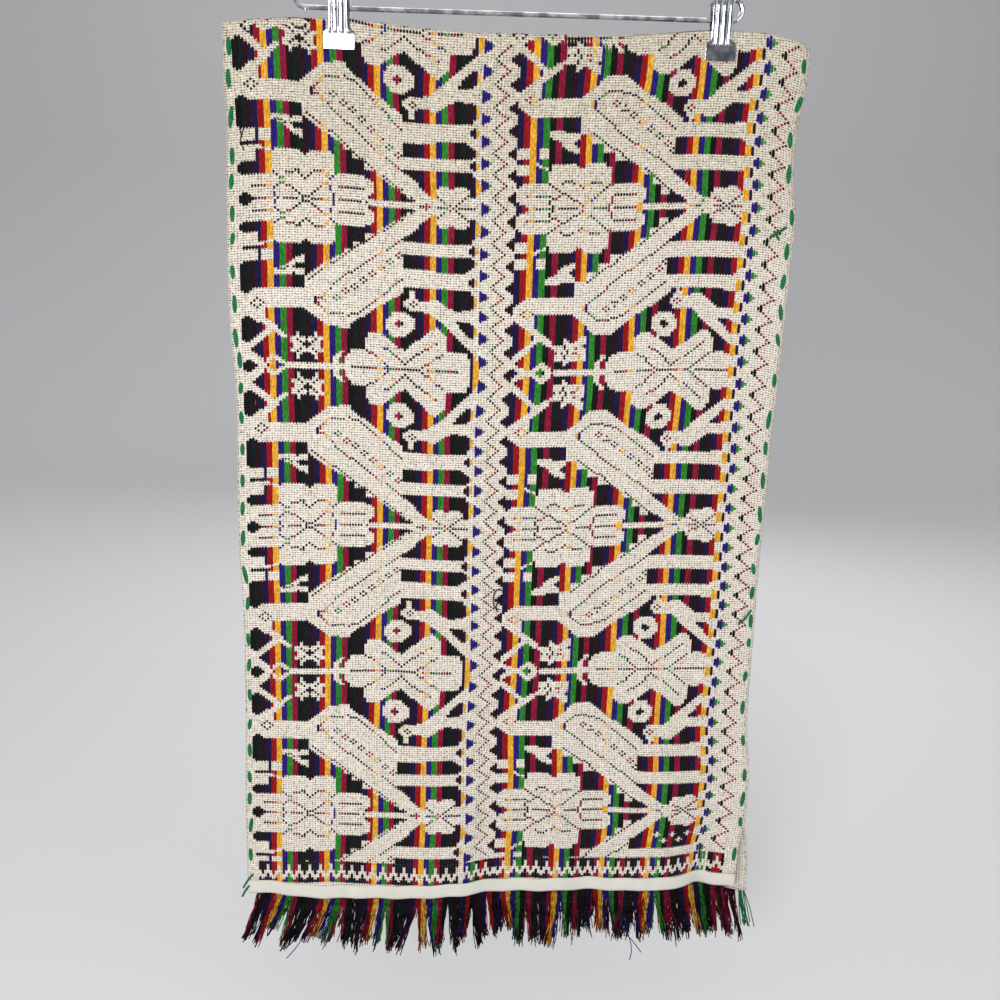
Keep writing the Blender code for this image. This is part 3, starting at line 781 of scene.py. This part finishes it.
def panel_runs(runs, panel, charts, picks, motif_picks, side_columns):
    """The floats and dots of one figured panel, and of the columns beside it."""
    start, end = panel[:2]
    edges = -CLOTH_WIDTH / 2 + start + (end - start) * np.arange(PANEL_COLUMNS + 1) / PANEL_COLUMNS
    chart, last_chart = charts
    woven = [(last_chart if pick > LAST_AXIS_PICK else chart)[repeat_row(pick)] for pick in picks]
    for c in range(PANEL_COLUMNS):
        name = stripe_name(panel, c)
        add_column(runs, edges[c], edges[c + 1], picks, [int(row[c]) for row in woven], name)
        add_motif(runs, edges[c], edges[c + 1], c, name, motif_picks)
    for c, name, beside, margin in side_columns:
        step = (edges[-1] - edges[0]) / PANEL_COLUMNS
        kinds = [int(row[beside]) for row in woven]
        kept = [
            FLOAT if all(kind == FLOAT for kind in kinds[max(0, k - margin):k + margin + 1]) else CREAM
            for k in range(len(kinds))
        ]
        add_column(runs, edges[0] + c * step, edges[0] + (c + 1) * step, picks, kept, name)


# Beside the left panel: column, yarn, the column it follows, and how many picks shorter it is
LEFT_SIDE_COLUMNS = (
    (-2, "black", 0, 1),
    (-1, "black", 0, 0),
    (76, "yellow", 75, 1),
    (77, "yellow", 75, 3),
)


def add_motif(runs, left, right, c, name, motif_picks):
    """One column of the small motif that runs along a hem."""
    for pick, line in zip(motif_picks, HEM_MOTIF):
        if line[c % 4] == "#":
            add_run(runs, left, right, pick - 0.1, pick + 1.1, name, FLOAT)


def border_runs(runs, start, end, columns, low, high, motif_picks):
    """A narrow border whose teeth repeat along the cloth, with the hem's motif below them."""
    edges = -CLOTH_WIDTH / 2 + np.linspace(start, end, len(columns) + 1)
    for c, (name, kind, half, below, double) in enumerate(columns):
        if name is None:
            continue
        add_motif(runs, edges[c], edges[c + 1], c, name, motif_picks)
        first = TOOTH_PICK + below
        tooth = first + math.ceil((low - first) / TEETH_PERIOD) * TEETH_PERIOD
        while tooth < high:
            for middle in (tooth - double, tooth + double) if double else (tooth,):
                if low <= middle - half and middle + half <= high:
                    add_run(runs, edges[c], edges[c + 1], middle - half, middle + half, name, kind)
            tooth += TEETH_PERIOD


def pattern_runs(side):
    """Every float and dot of one layer. side is 1 for the front and -1 for the back."""
    left = half_repeat_chart(LEFT_CREAM, LEFT_FLOAT, LEFT_DOTS, LEFT_DIAMONDS, LEFT_EYE)
    right = half_repeat_chart(RIGHT_CREAM, RIGHT_FLOAT, RIGHT_DOTS, RIGHT_DIAMONDS, RIGHT_EYE)
    last, motif = FIGURE_END_PICK[side], HEM_MOTIF_PICK[side]
    picks = list(range(last)) if side > 0 else list(range(-last, 0))
    motif_picks = [side * (motif + k) for k in range(len(HEM_MOTIF))]
    runs = []
    panel_runs(runs, LEFT_PANEL, (left, left), picks, motif_picks, LEFT_SIDE_COLUMNS)
    panel_runs(runs, RIGHT_PANEL, (right, hem_chart(right)), picks, motif_picks, ())
    low, high = (0, motif) if side > 0 else (-motif, 0)
    right_end = RIGHT_PANEL_END + len(RIGHT_BORDER) * COLUMN
    border_runs(runs, LEFT_PANEL_END, RIGHT_PANEL_START, MIDDLE_BORDER, low, high, motif_picks)
    border_runs(runs, RIGHT_PANEL_END, right_end, RIGHT_BORDER, low, high, motif_picks)
    return runs


def pick_place(pick):
    """How far from the fold a pick lies, down the front or, with a minus, down the back."""
    table = np.array(PICK_PLACES)
    near = np.interp(pick, table[:, 0], table[:, 1])
    beyond = table[0, 1] + (np.asarray(pick) - table[0, 0]) * PICK / MM
    return np.where(np.asarray(pick) < table[0, 0], beyond, near) * MM


# How the hand-woven rows and columns lie off their even places on the front, first the places across
SLIP_COLUMNS = (27, 78, 128, 174, 220, 266, 316, 366, 421)
# distance down in millimetres, then slips towards +X and slips down, in tenths of a millimetre
WEAVE_SLIPS = (
    (20, (-8, -24, -23, -26, -23, 10, 26, 13, 16), (9, 25, 1, 15, 4, -2, -17, -24, -38)),
    (48, (5, -5, -14, -26, -13, 18, 18, 22, 19), (43, 17, -3, 33, 3, -12, -25, -35, -21)),
    (75, (4, 8, -4, -10, -5, 31, 29, 38, 34), (28, 6, -12, -14, -7, -16, -29, -29, -20)),
    (106, (14, 21, 6, -5, -2, 31, 31, 25, 26), (-13, -9, -1, -5, -3, -13, -43, -23, -22)),
    (138, (30, 27, 10, -5, -13, 16, 3, -5, -6), (-8, -6, 7, 8, 5, -11, -20, -19, -21)),
    (170, (28, 36, 16, 2, -5, 19, 6, -9, -9), (-13, -8, 4, 13, 2, -10, -6, -23, -20)),
    (203, (28, 34, 21, 10, 0, 24, 9, -9, -2), (-11, -16, -25, -24, -6, -20, -24, -25, -17)),
    (236, (26, 31, 25, 13, 10, 30, 15, -6, -3), (-18, -32, -43, -73, -25, -32, -37, -27, -25)),
    (268, (7, 16, 15, 4, 3, 24, 22, 6, -2), (-22, -19, -16, -17, -5, -14, -19, -26, -21)),
    (301, (-8, 8, 12, -10, -11, 22, 17, 7, 7), (-30, -17, 14, 60, 18, 13, -12, -30, -17)),
    (334, (9, 19, 16, 1, -6, 26, 17, 6, 21), (-32, -33, -4, 20, 5, -10, -22, -24, -10)),
    (366, (15, 31, 25, 7, 1, 28, 19, 12, 18), (-30, -32, -29, -17, -5, -13, -43, -25, -16)),
    (399, (11, 30, 32, 14, 3, 22, 18, 17, 19), (-1, -25, -30, -19, -2, -9, -28, -31, -26)),
    (434, (4, 28, 24, 9, 1, 25, 13, 20, 25), (14, -17, -25, -2, 9, 3, -9, -32, -16)),
    (470, (-3, 9, 9, 0, -8, 15, 14, 14, 30), (10, -10, -41, -31, 7, 0, -15, -22, -14)),
    (505, (-11, -3, 4, -7, -9, 13, 14, 16, 23), (15, -15, -47, -65, -12, -16, -17, -15, -3)),
    (542, (-12, -5, 1, -5, -15, 7, 14, 16, 15), (7, -10, -15, 19, 4, 9, -4, -7, -5)),
    (586, (-5, -7, -9, -24, -32, -7, 1, 6, 2), (-24, -35, -6, 31, -14, -16, -15, -5, 15)),
    (629, (-5, -10, -24, -44, -43, -24, -28, -22, -12), (-17, -40, -21, -15, -21, -34, -30, 28, 37)),
    (673, (-3, -6, -24, -40, -43, -25, -26, -30, -24), (-9, -29, -16, 1, -4, -17, 0, -4, 12)),
    (710, (-6, -8, -24, -38, -32, -3, 5, -13, -23), (15, -34, -8, 15, 8, -7, 23, 2, 2)),
)


def weave_slip(across, along):
    """How far the pattern lies off its even place on the front: towards +X, and down."""
    from_left, down = (across + CLOTH_WIDTH / 2) / MM, along / MM
    low, high = FOLD_SLIP_ENDS
    fade = 1 - smoothstep(0, high, -down)
    near_fold = hermite(FOLD_SLIP, from_left) * (1 - smoothstep(low, high, down))
    levels = [row[0] for row in WEAVE_SLIPS]
    after = np.clip(np.searchsorted(SLIP_COLUMNS, from_left), 1, len(SLIP_COLUMNS) - 1)
    places = np.array(SLIP_COLUMNS)
    share = np.clip((from_left - places[after - 1]) / (places[after] - places[after - 1]), 0, 1)
    found = []
    for which in (1, 2):
        table = np.array([row[which] for row in WEAVE_SLIPS]) / 10
        by_column = np.stack([np.interp(down, levels, column) for column in table.T])
        here = np.arange(len(down))
        found.append(by_column[after - 1, here] * (1 - share) + by_column[after, here] * share)
    return found[0] * fade * MM, (found[1] + near_fold) * fade * MM


FLOAT_LIFT = 0.34 * MM
FLOAT_EDGE = 0.04 * MM
LONGEST_SEGMENT = 14 * MM


def build_floats(name, runs, seed):
    """Each float is a rounded strip of yarn with pointed ends, and each dot a small bead."""
    random = np.random.default_rng(seed)
    across, along, lift, faces, colours = [], [], [], [], []
    surface = CLOTH_THICKNESS / 2

    def ring(middle, half, place, high):
        for share, height in ((-1.0, FLOAT_EDGE), (-0.5, high), (0.5, high), (1.0, FLOAT_EDGE)):
            across.append(middle + half * share)
            along.append(place)
            lift.append(surface + height)

    for left, right, start, stop, colour, kind in runs:
        middle = (left + right) / 2 + random.normal(0, 0.03 * MM)
        half = (right - left) / 2
        first = len(across)
        start, stop = (float(v) for v in pick_place(np.array((start, stop))))
        if kind == DOT:
            centre = (start + stop) / 2
            reach = (stop - start) * 0.56
            places = (centre - reach, centre, centre + reach)
            shape = ((0.45, 0.05), (0.92, 0.8), (0.45, 0.05))
        else:
            tooth = (0.25 + 0.3 * random.random()) * PICK
            count = max(1, math.ceil((stop - start) / LONGEST_SEGMENT))
            body = np.linspace(start + 0.2 * PICK, stop - 0.2 * PICK, count + 1)
            places = (start - tooth, *body, stop + tooth)
            shape = ((0.35, 0.05), *((1.04, 1.0),) * (count + 1), (0.35, 0.05))
        for place, (width, height) in zip(places, shape):
            ring(middle, half * width, place, FLOAT_LIFT * height)
        strip = strip_faces(first, len(places), 4)
        faces += strip
        colours += [colour] * len(strip)
    across, along = np.array(across), np.array(along)
    sideways, onwards = weave_slip(across, along)
    points = on_cloth(across + sideways, along + onwards, np.array(lift))
    return mesh_piece(name, points, faces, list(yarn_materials.values()), colours)


BEND_REACH = 0.012


def build_cloth():
    """The folded cream sheet, its weave laid out in columns and picks."""
    columns, rows, bend_rows = 96, 150, 15
    a = np.linspace(-CLOTH_WIDTH / 2, CLOTH_WIDTH / 2, columns + 1)
    front = np.linspace(BEND_REACH, FRONT_LENGTH - BAND_OVERHANG, rows)
    back = np.linspace(BEND_REACH, BACK_LENGTH - BAND_OVERHANG, rows)
    bend = np.linspace(-BEND_REACH, BEND_REACH, bend_rows)[1:-1]
    s = np.concatenate([-back[::-1], bend, front])
    grid_a, grid_s = np.meshgrid(a, s)
    points = cloth_points(grid_a, grid_s).reshape(-1, 3)
    obj = mesh_piece("runner_weave", points, grid_faces(len(s) - 1, columns), [cream_material])
    set_uvs(obj, grid_a, grid_s)
    thicken(obj, CLOTH_THICKNESS)
    return obj


def build_band(name, side):
    """The white tape across a hem, a little uneven along its edges."""
    columns = 240
    a = np.linspace(-CLOTH_WIDTH / 2, CLOTH_WIDTH / 2, columns + 1)
    length = FRONT_LENGTH if side > 0 else BACK_LENGTH
    rows = np.linspace(0, 1, 7)
    grid_a, grid_r = np.meshgrid(a, rows)
    waver = 0.5 * MM * np.sin(grid_a * 190) + 0.35 * MM * np.sin(grid_a * 71 + 1.0)
    s = side * (length - BAND_HEIGHT * (1 - grid_r) + waver)
    crown = 0.25 * MM * np.sin(math.pi * grid_r)
    standoff = (CLOTH_THICKNESS + BAND_THICKNESS) / 2 + 0.3 * MM
    points = on_cloth(grid_a, s, standoff + crown).reshape(-1, 3)
    obj = mesh_piece(name, points, grid_faces(len(rows) - 1, columns), [tape_material])
    set_uvs(obj, grid_a, s)
    thicken(obj, BAND_THICKNESS)
    return obj


RIGHT_FRINGE = "yellow navy green black crimson plum crimson black".split()
RIGHT_FRINGE_COLUMNS = 2.2
BORDER_FRINGE = "plum navy red black".split()


def stripe_at(across):
    """The warp yarn's colour at a distance across the cloth, for the fringe."""
    from_left = across + CLOTH_WIDTH / 2
    for panel in (LEFT_PANEL, RIGHT_PANEL):
        start, end = panel[:2]
        if start <= from_left < end:
            column = int((from_left - start) / (end - start) * PANEL_COLUMNS)
            return YARN_NAMES.index(stripe_name(panel, column))
    if from_left >= RIGHT_PANEL_END:
        place = int((from_left - RIGHT_PANEL_END) / COLUMN / RIGHT_FRINGE_COLUMNS)
        return YARN_NAMES.index(RIGHT_FRINGE[place % len(RIGHT_FRINGE)])
    return YARN_NAMES.index(BORDER_FRINGE[int(from_left / COLUMN / 2) % len(BORDER_FRINGE)])


FRINGE_RINGS = 8
FRINGE_STRANDS = {"front": 1700, "back": 900}
STRAND_RADIUS = 0.66 * MM
LOCKS = 60
LOCK_WIDTHS = (6 * MM, 13 * MM)
LOCK_GATHER = 0.45
LOCK_CURL = 3.2 * MM
LOCK_LENGTH_SPREAD = 0.09
STRAND_LENGTH_SPREAD = 0.075
LONGEST_STRAND = 1.34
STRAND_CURL = 1.8 * MM
STRAND_SWAY = 1.6 * MM
STRAND_WAVER = 0.7 * MM


def build_fringe(name, side, count, seed):
    """Fine warp ends gathered into loose locks, each strand a thin three-sided yarn."""
    random = np.random.default_rng(seed)
    length = FRONT_LENGTH if side > 0 else BACK_LENGTH
    low = -CLOTH_WIDTH / 2 + FRINGE_INSET
    span = CLOTH_WIDTH - 2 * FRINGE_INSET
    roots = low + span * (np.arange(count) + random.random(count)) / count
    lock_ends = low + np.cumsum(random.uniform(*LOCK_WIDTHS, LOCKS))
    lock_curls = random.normal(0, LOCK_CURL, LOCKS)
    lock_lengths = 1 + LOCK_LENGTH_SPREAD * random.normal(size=LOCKS)
    points, faces, colours = [], [], []
    root_along = np.full(count, side * (length - 3 * MM))
    root_places = on_cloth(roots, root_along, random.normal(0, 0.4 * MM, count))
    for root, place in zip(roots, root_places):
        lock = min(int(np.searchsorted(lock_ends, root)), LOCKS - 1)
        lock_middle = (lock_ends[lock] + (lock_ends[lock - 1] if lock else low)) / 2
        lock_share = lock_lengths[lock] * (1.08 - 0.12 * abs(root - lock_middle) / (6 * MM))
        own_share = lock_share * (1 + STRAND_LENGTH_SPREAD * random.normal())
        drop = (FRINGE_LENGTH - 2 * MM) * min(LONGEST_STRAND, own_share)
        lean = float(hermite(FRINGE_LEAN, np.array([root]))[0])
        gather = (lock_middle - root) * LOCK_GATHER
        curl = lock_curls[lock] + random.normal(0, STRAND_CURL)
        sway = random.normal(0, STRAND_SWAY)
        phase = random.random() * 6.28
        first = len(points)
        for k in range(FRINGE_RINGS):
            share = k / (FRINGE_RINGS - 1)
            x = place[0] + lean * drop * share**1.3 + gather * share + curl * share**2
            x += STRAND_WAVER * math.sin(9 * share + phase)
            y = place[1] + sway * share + STRAND_WAVER * math.cos(8 * share + phase)
            z = place[2] - drop * share
            radius = STRAND_RADIUS * (1 - 0.2 * share)
            for m in range(3):
                turn = 2 * math.pi * m / 3 + 5 * share
                points.append((x + radius * math.cos(turn), y + radius * math.sin(turn), z))
        last = first + 3 * (FRINGE_RINGS - 1)
        strand = tube_faces(first, FRINGE_RINGS, 3)
        strand += [(last, last + 1, last + 2), (first + 2, first + 1, first)]
        faces += strand
        colours += [stripe_at(root)] * len(strand)
    return mesh_piece(name, points, faces, list(yarn_materials.values()), colours)


STITCH_LENGTH = 12 * MM
STITCH_PERIOD = 26.5 * MM
STITCH_HALF_WIDTH = 2.1 * MM
STITCH_HEIGHT = 0.9 * MM
STITCH_TO_EDGE = 4 * MM
STITCHES_START = 14 * MM
STITCHES_STOP = 20 * MM


def build_stitches():
    """Green running stitches down both side hems, on both layers."""
    random = np.random.default_rng(31)
    across, along, lift, faces = [], [], [], []
    for side, length in ((1, FRONT_LENGTH), (-1, BACK_LENGTH)):
        for edge in (-1, 1):
            place = STITCHES_START
            while place < length - STITCHES_STOP:
                middle = edge * (CLOTH_WIDTH / 2 - STITCH_TO_EDGE + random.normal(0, 0.5 * MM))
                tilt = random.normal(0, 0.09)
                long = STITCH_LENGTH * (1 + 0.18 * random.normal())
                first = len(across)
                for k in range(7):
                    share = k / 6
                    swell = math.sin(math.pi * (0.08 + 0.84 * share)) ** 0.5
                    for m in range(5):
                        turn = math.pi * m / 4
                        half = STITCH_HALF_WIDTH * swell * math.cos(turn)
                        across.append(middle + half + tilt * long * (share - 0.5))
                        along.append(side * (place + long * share))
                        rise = STITCH_HEIGHT * swell * math.sin(turn)
                        lift.append(CLOTH_THICKNESS / 2 - 0.1 * MM + rise)
                faces += strip_faces(first, 7, 5)
                place += STITCH_PERIOD * (1 + 0.14 * random.normal())
    points = on_cloth(np.array(across), np.array(along), np.array(lift))
    return mesh_piece("hem_stitches", points, faces, [stitch_material])


# Loose ends: yarn, half thickness, and points from the left, down from the fold and off the cloth, in mm
LOOSE_ENDS = (
    (
        "navy",
        0.55,
        ((229, 476, 0.6), (224, 473, 2), (222.5, 466, 3), (224, 459, 2.5), (228, 457, 1), (231, 459, 0.3)),
    ),
    ("navy", 0.5, ((231, 462, 0.4), (227, 468, 2), (225, 474, 2.4), (227, 478, 1.2))),
    ("stitch", 1.1, ((438, 157, 0.8), (444, 152, 1.5), (451, 146, 1.0))),
    ("stitch", 1.0, ((441, 151, 0.6), (446, 158, 1.0))),
    ("stitch", 1.0, ((443, 491, 0.7), (449, 484, 1.4), (454, 476, 0.8))),
    ("stitch", 1.0, ((6, 733, 0.8), (1, 739, 2.0), (-4, 747, 2.4))),
    ("stitch", 1.1, ((3, 744, 0.8), (-2, 750, 2.0), (-5, 756, 2.2))),
    ("blue", 0.45, ((58, 765, -1), (52, 786, 0), (40, 803, 3), (30, 809, 5))),
    ("blue", 0.45, ((59, 765, -1), (54, 790, 0), (44, 808, 2), (36, 818, 3))),
    ("blue", 0.45, ((350, 765, -1), (353, 790, 2), (364, 806, 3), (372, 818, 1))),
    ("blue", 0.45, ((352, 765, -1), (357, 792, 1), (362, 812, 2), (361, 826, 1))),
    ("black", 0.4, ((12, 60, 0.3), (9, 68, 0.9), (11, 77, 0.4))),
    ("black", 0.4, ((13, 70, 0.3), (10, 78, 0.9), (12, 88, 0.4))),
    ("black", 0.4, ((14, 81, 0.3), (11, 90, 0.8), (14, 99, 0.4))),
)
TAIL_STRANDS = 16


def swept(points, radius, sides=5, per_span=5):
    """Rings along a smooth curve through points, as vertices and faces of an open tube."""
    controls = [points[0], *points, points[-1]]
    path = []
    for before, start, end, after in zip(controls, controls[1:], controls[2:], controls[3:]):
        for k in range(per_span):
            t = k / per_span
            square = (2 * before - 5 * start + 4 * end - after) * t**2
            cube = (3 * start - before - 3 * end + after) * t**3
            path.append(0.5 * (2 * start + (end - before) * t + square + cube))
    path.append(points[-1])
    rings = []
    for k, place in enumerate(path):
        ahead = path[min(k + 1, len(path) - 1)] - path[max(k - 1, 0)]
        ahead /= np.linalg.norm(ahead)
        side = np.cross(ahead, (0.0, 1.0, 0.0))
        side /= np.linalg.norm(side)
        up = np.cross(side, ahead)
        size = radius * (0.6 if k in (0, len(path) - 1) else 1.0)
        for m in range(sides):
            turn = 2 * math.pi * m / sides
            rings.append(place + size * (side * math.cos(turn) + up * math.sin(turn)))
    faces = tube_faces(0, len(path), sides)
    faces.append(tuple(range(sides))[::-1])
    faces.append(tuple(range(sides * (len(path) - 1), sides * len(path))))
    return rings, faces


def build_loose_ends():
    """The stray threads of the front, and a green tail of yarn at the back's right corner."""
    random = np.random.default_rng(77)
    ends = []
    for name, radius, places in LOOSE_ENDS:
        across, along, lift = (np.array(column) * MM for column in zip(*places))
        inside_along = np.minimum(along, FRONT_LENGTH - 1 * MM)
        points = on_cloth(across - CLOTH_WIDTH / 2, inside_along, lift + CLOTH_THICKNESS / 2)
        points[:, 2] -= along - inside_along
        ends.append((name, radius * MM, points))
    corner = on_cloth(CLOTH_WIDTH / 2 - 3 * MM, np.array(-(BACK_LENGTH - 6 * MM)), 1 * MM)
    for k in range(TAIL_STRANDS):
        start = corner + np.array((random.uniform(-4, 1), random.uniform(-1, 1), 0)) * MM
        middle = start + np.array((4 + random.normal(0, 1.5), random.normal(0, 1), -20)) * MM
        fall = (5 + random.normal(0, 2), random.normal(0, 1.5), -18 - 6 * random.random())
        end = middle + np.array(fall) * MM
        ends.append(("stitch", 0.5 * MM, np.array((start, middle, end))))
    points, faces, indices = [], [], []
    names = sorted({name for name, _, _ in ends})
    for name, radius, places in ends:
        rings, quads = swept(list(places), radius)
        faces += [tuple(i + len(points) for i in face) for face in quads]
        points += rings
        indices += [names.index(name)] * len(quads)
    materials = [stitch_material if name == "stitch" else yarn_materials[name] for name in names]
    return mesh_piece("loose_ends", points, faces, materials, indices)


# height above the bar, half width, standoff of a clip plate's middle from the bar's plane
CLIP_PLATE_PROFILE = (
    (0.0240, 0.0080, 0.0105), (0.0180, 0.0083, 0.0082), (0.0110, 0.0083, 0.0058),
    (0.0040, 0.0083, 0.0046), (-0.0040, 0.0083, 0.0044), (-0.0110, 0.0083, 0.0036),
    (-0.0150, 0.0084, 0.0033), (-0.0172, 0.0118, 0.00315), (-0.0195, 0.0124, 0.00305),
    (-0.0290, 0.0124, 0.00305), (-0.0306, 0.0121, 0.00305),
)
PLATE_THICKNESS = 0.0009
GROOVES = (-0.0056, -0.0006, 0.0045)
GROOVE_WIDTH = 0.0009
GROOVE_DEPTH = 0.0007
GROOVE_ENDS = (-0.0195, -0.0165)
PLATE_CROWN = 0.0006


def build_plate(side, face):
    """A pressed clip plate with three stamped grooves down its shank."""
    columns, rows = 36, 60
    profile = np.array(CLIP_PLATE_PROFILE)
    heights = np.linspace(profile[0, 0], profile[-1, 0], rows + 1)
    wide = np.interp(-heights, -profile[:, 0], profile[:, 1])
    stand = np.interp(-heights, -profile[:, 0], profile[:, 2])
    share = np.linspace(-1, 1, columns + 1)
    x = share[None, :] * wide[:, None]
    fade = smoothstep(*GROOVE_ENDS, heights)[:, None]
    groove = sum(np.exp(-(((x - g) / GROOVE_WIDTH) ** 2)) for g in GROOVES)
    crown = PLATE_CROWN * (1 - np.abs(share[None, :]) ** 4)
    y = stand[:, None] - GROOVE_DEPTH * groove * fade + crown * fade
    z = BAR_Z + np.broadcast_to(heights[:, None], x.shape)
    points = np.stack([CLIP_X[side] + x, face * y, z], -1).reshape(-1, 3)
    faces = grid_faces(rows, columns)[:, [0, 3, 2, 1]]
    name = f"clip_{side}_{'front' if face < 0 else 'back'}"
    obj = mesh_piece(name + "_jaw", points, faces, [chrome_material])
    thicken(obj, PLATE_THICKNESS)
    bevel = obj.modifiers.new("soft edges", "BEVEL")
    bevel.width = 0.25 * MM
    bevel.segments = 2
    bevel.angle_limit = math.radians(50)
    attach(obj, "root")
    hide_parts(name + "_plate")


def finish_hanger():
    for name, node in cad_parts.items():
        if name.startswith(("hanger_", "clip_")):
            node.data.materials.clear()
            node.data.materials.append(chrome_material)


def dress():
    """Every soft piece, with what it rides on and stands for."""
    cloth = build_cloth()
    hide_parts("runner_cloth")
    extras = []
    for name, side, seed in (("front", 1, 5), ("back", -1, 6)):
        floats = build_floats(f"pattern_floats_{name}", pattern_runs(side), seed)
        band = build_band(f"hem_tape_{name}", side)
        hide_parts(f"hem_band_{name}")
        fringe = build_fringe(f"fringe_yarns_{name}", side, FRINGE_STRANDS[name], seed + 20)
        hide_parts(f"fringe_{name}")
        extras += [floats, band, fringe]
    threads = [build_stitches(), build_loose_ends()]
    extras += threads
    for piece in [cloth, *extras]:
        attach(piece, "root")


# Camera, floor and lights

FOCAL_LENGTH_PX = 1034.5
CAMERA_PLACE = (-0.05343, -0.87551, -0.34771)
CAMERA_PITCH = math.radians(-12.466)
CAMERA_ROLL = math.radians(-1.154)
CAMERA_YAW = math.radians(-2.687)
SENSOR_MM = 36.0
IMAGE_PX = 1000


def make_camera():
    data = bpy.data.cameras.new("camera")
    data.sensor_width = SENSOR_MM
    data.lens = SENSOR_MM * FOCAL_LENGTH_PX / IMAGE_PX
    data.clip_start = 0.01
    camera = add_object("camera", data)
    camera.location = CAMERA_PLACE
    camera.rotation_euler = Euler((math.pi / 2 + CAMERA_PITCH, CAMERA_ROLL, CAMERA_YAW))
    bpy.context.scene.camera = camera


def area_light(name, place, target, size, watts):
    data = bpy.data.lights.new(name, "AREA")
    data.shape = "DISK"
    data.size = size
    data.energy = watts
    light = add_object(name, data)
    light.location = place
    light.rotation_euler = (Vector(target) - Vector(place)).to_track_quat("-Z", "Y").to_euler()


def plain_sheet(name, points, faces):
    """A pale matt surface of the studio."""
    pale = Nodes("pale_" + name, roughness=0.95)
    pale.colour(pale.mix(pale.noise(0.8), (0.57, 0.57, 0.575), (0.60, 0.60, 0.605)))
    return mesh_piece(name, points, faces, [pale.material])


FLOOR_Z = -1.06
STUDIO_HALF_WIDTH = 6.0
COVE_Y = 2.6
COVE_RADIUS = 1.2
WALL_TOP = 3.5
SKY_STRENGTH = 0.45


def make_studio():
    """A pale floor that curves up into a pale wall, under soft lights."""
    wide = STUDIO_HALF_WIDTH
    corners = [(x, y, FLOOR_Z) for x, y in ((-wide, -wide), (wide, -wide), (wide, COVE_Y), (-wide, COVE_Y))]
    floor = plain_sheet("floor", corners, [(0, 1, 2, 3)])
    turns = [math.pi / 2 * k / 16 for k in range(17)]
    side = [(COVE_Y + COVE_RADIUS * math.sin(t), FLOOR_Z + COVE_RADIUS * (1 - math.cos(t))) for t in turns]
    side.append((COVE_Y + COVE_RADIUS, WALL_TOP))
    points = [(x, y, z) for y, z in side for x in (-wide, wide)]
    faces = [(2 * k, 2 * k + 1, 2 * k + 3, 2 * k + 2) for k in range(len(side) - 1)]
    plain_sheet("backdrop", points, faces)
    world = bpy.data.worlds.new("studio")
    world.use_nodes = True
    tree = world.node_tree
    sky = tree.nodes["Background"]
    sky.inputs["Strength"].default_value = SKY_STRENGTH
    shades = tree.nodes.new("ShaderNodeValToRGB")
    below, above = shades.color_ramp.elements
    below.position, below.color = 0.46, (0.62, 0.63, 0.66, 1.0)
    above.position, above.color = 0.85, (1.7, 1.72, 1.76, 1.0)
    shades.color_ramp.elements.new(0.56).color = (0.34, 0.35, 0.38, 1.0)
    split = tree.nodes.new("ShaderNodeSeparateXYZ")
    lifted = tree.nodes.new("ShaderNodeMapRange")
    lifted.inputs["From Min"].default_value = -1.0
    tree.links.new(tree.nodes.new("ShaderNodeTexCoord").outputs["Generated"], split.inputs[0])
    tree.links.new(split.outputs[2], lifted.inputs["Value"])
    tree.links.new(lifted.outputs["Result"], shades.inputs["Fac"])
    tree.links.new(shades.outputs["Color"], sky.inputs["Color"])
    bpy.context.scene.world = world
    area_light("key", (-0.60, -1.8, -0.05), (0, 0, -0.55), 0.7, 33)
    area_light("fill", (1.6, -1.4, -0.3), (0, 0, -0.5), 1.4, 7)
    area_light("rim", (0.4, 1.7, 0.4), (0, 0, -0.4), 1.2, 16)
    area_light("wall wash", (0.0, 1.3, 1.9), (0, 3.8, -0.2), 2.0, 18)
    bpy.context.scene.view_settings.view_transform = "Standard"


make_camera()
cream_material = cream_weave()
tape_material = tape()
chrome_material = chrome()
yarn_materials = {name: yarn(name, colour) for name, colour in YARNS.items()}
stitch_material = yarn("stitch_green", (0.014, 0.17, 0.065))
dress()
for clip in CLIP_X:
    build_plate(clip, -1)
    build_plate(clip, 1)
finish_hanger()
make_studio()
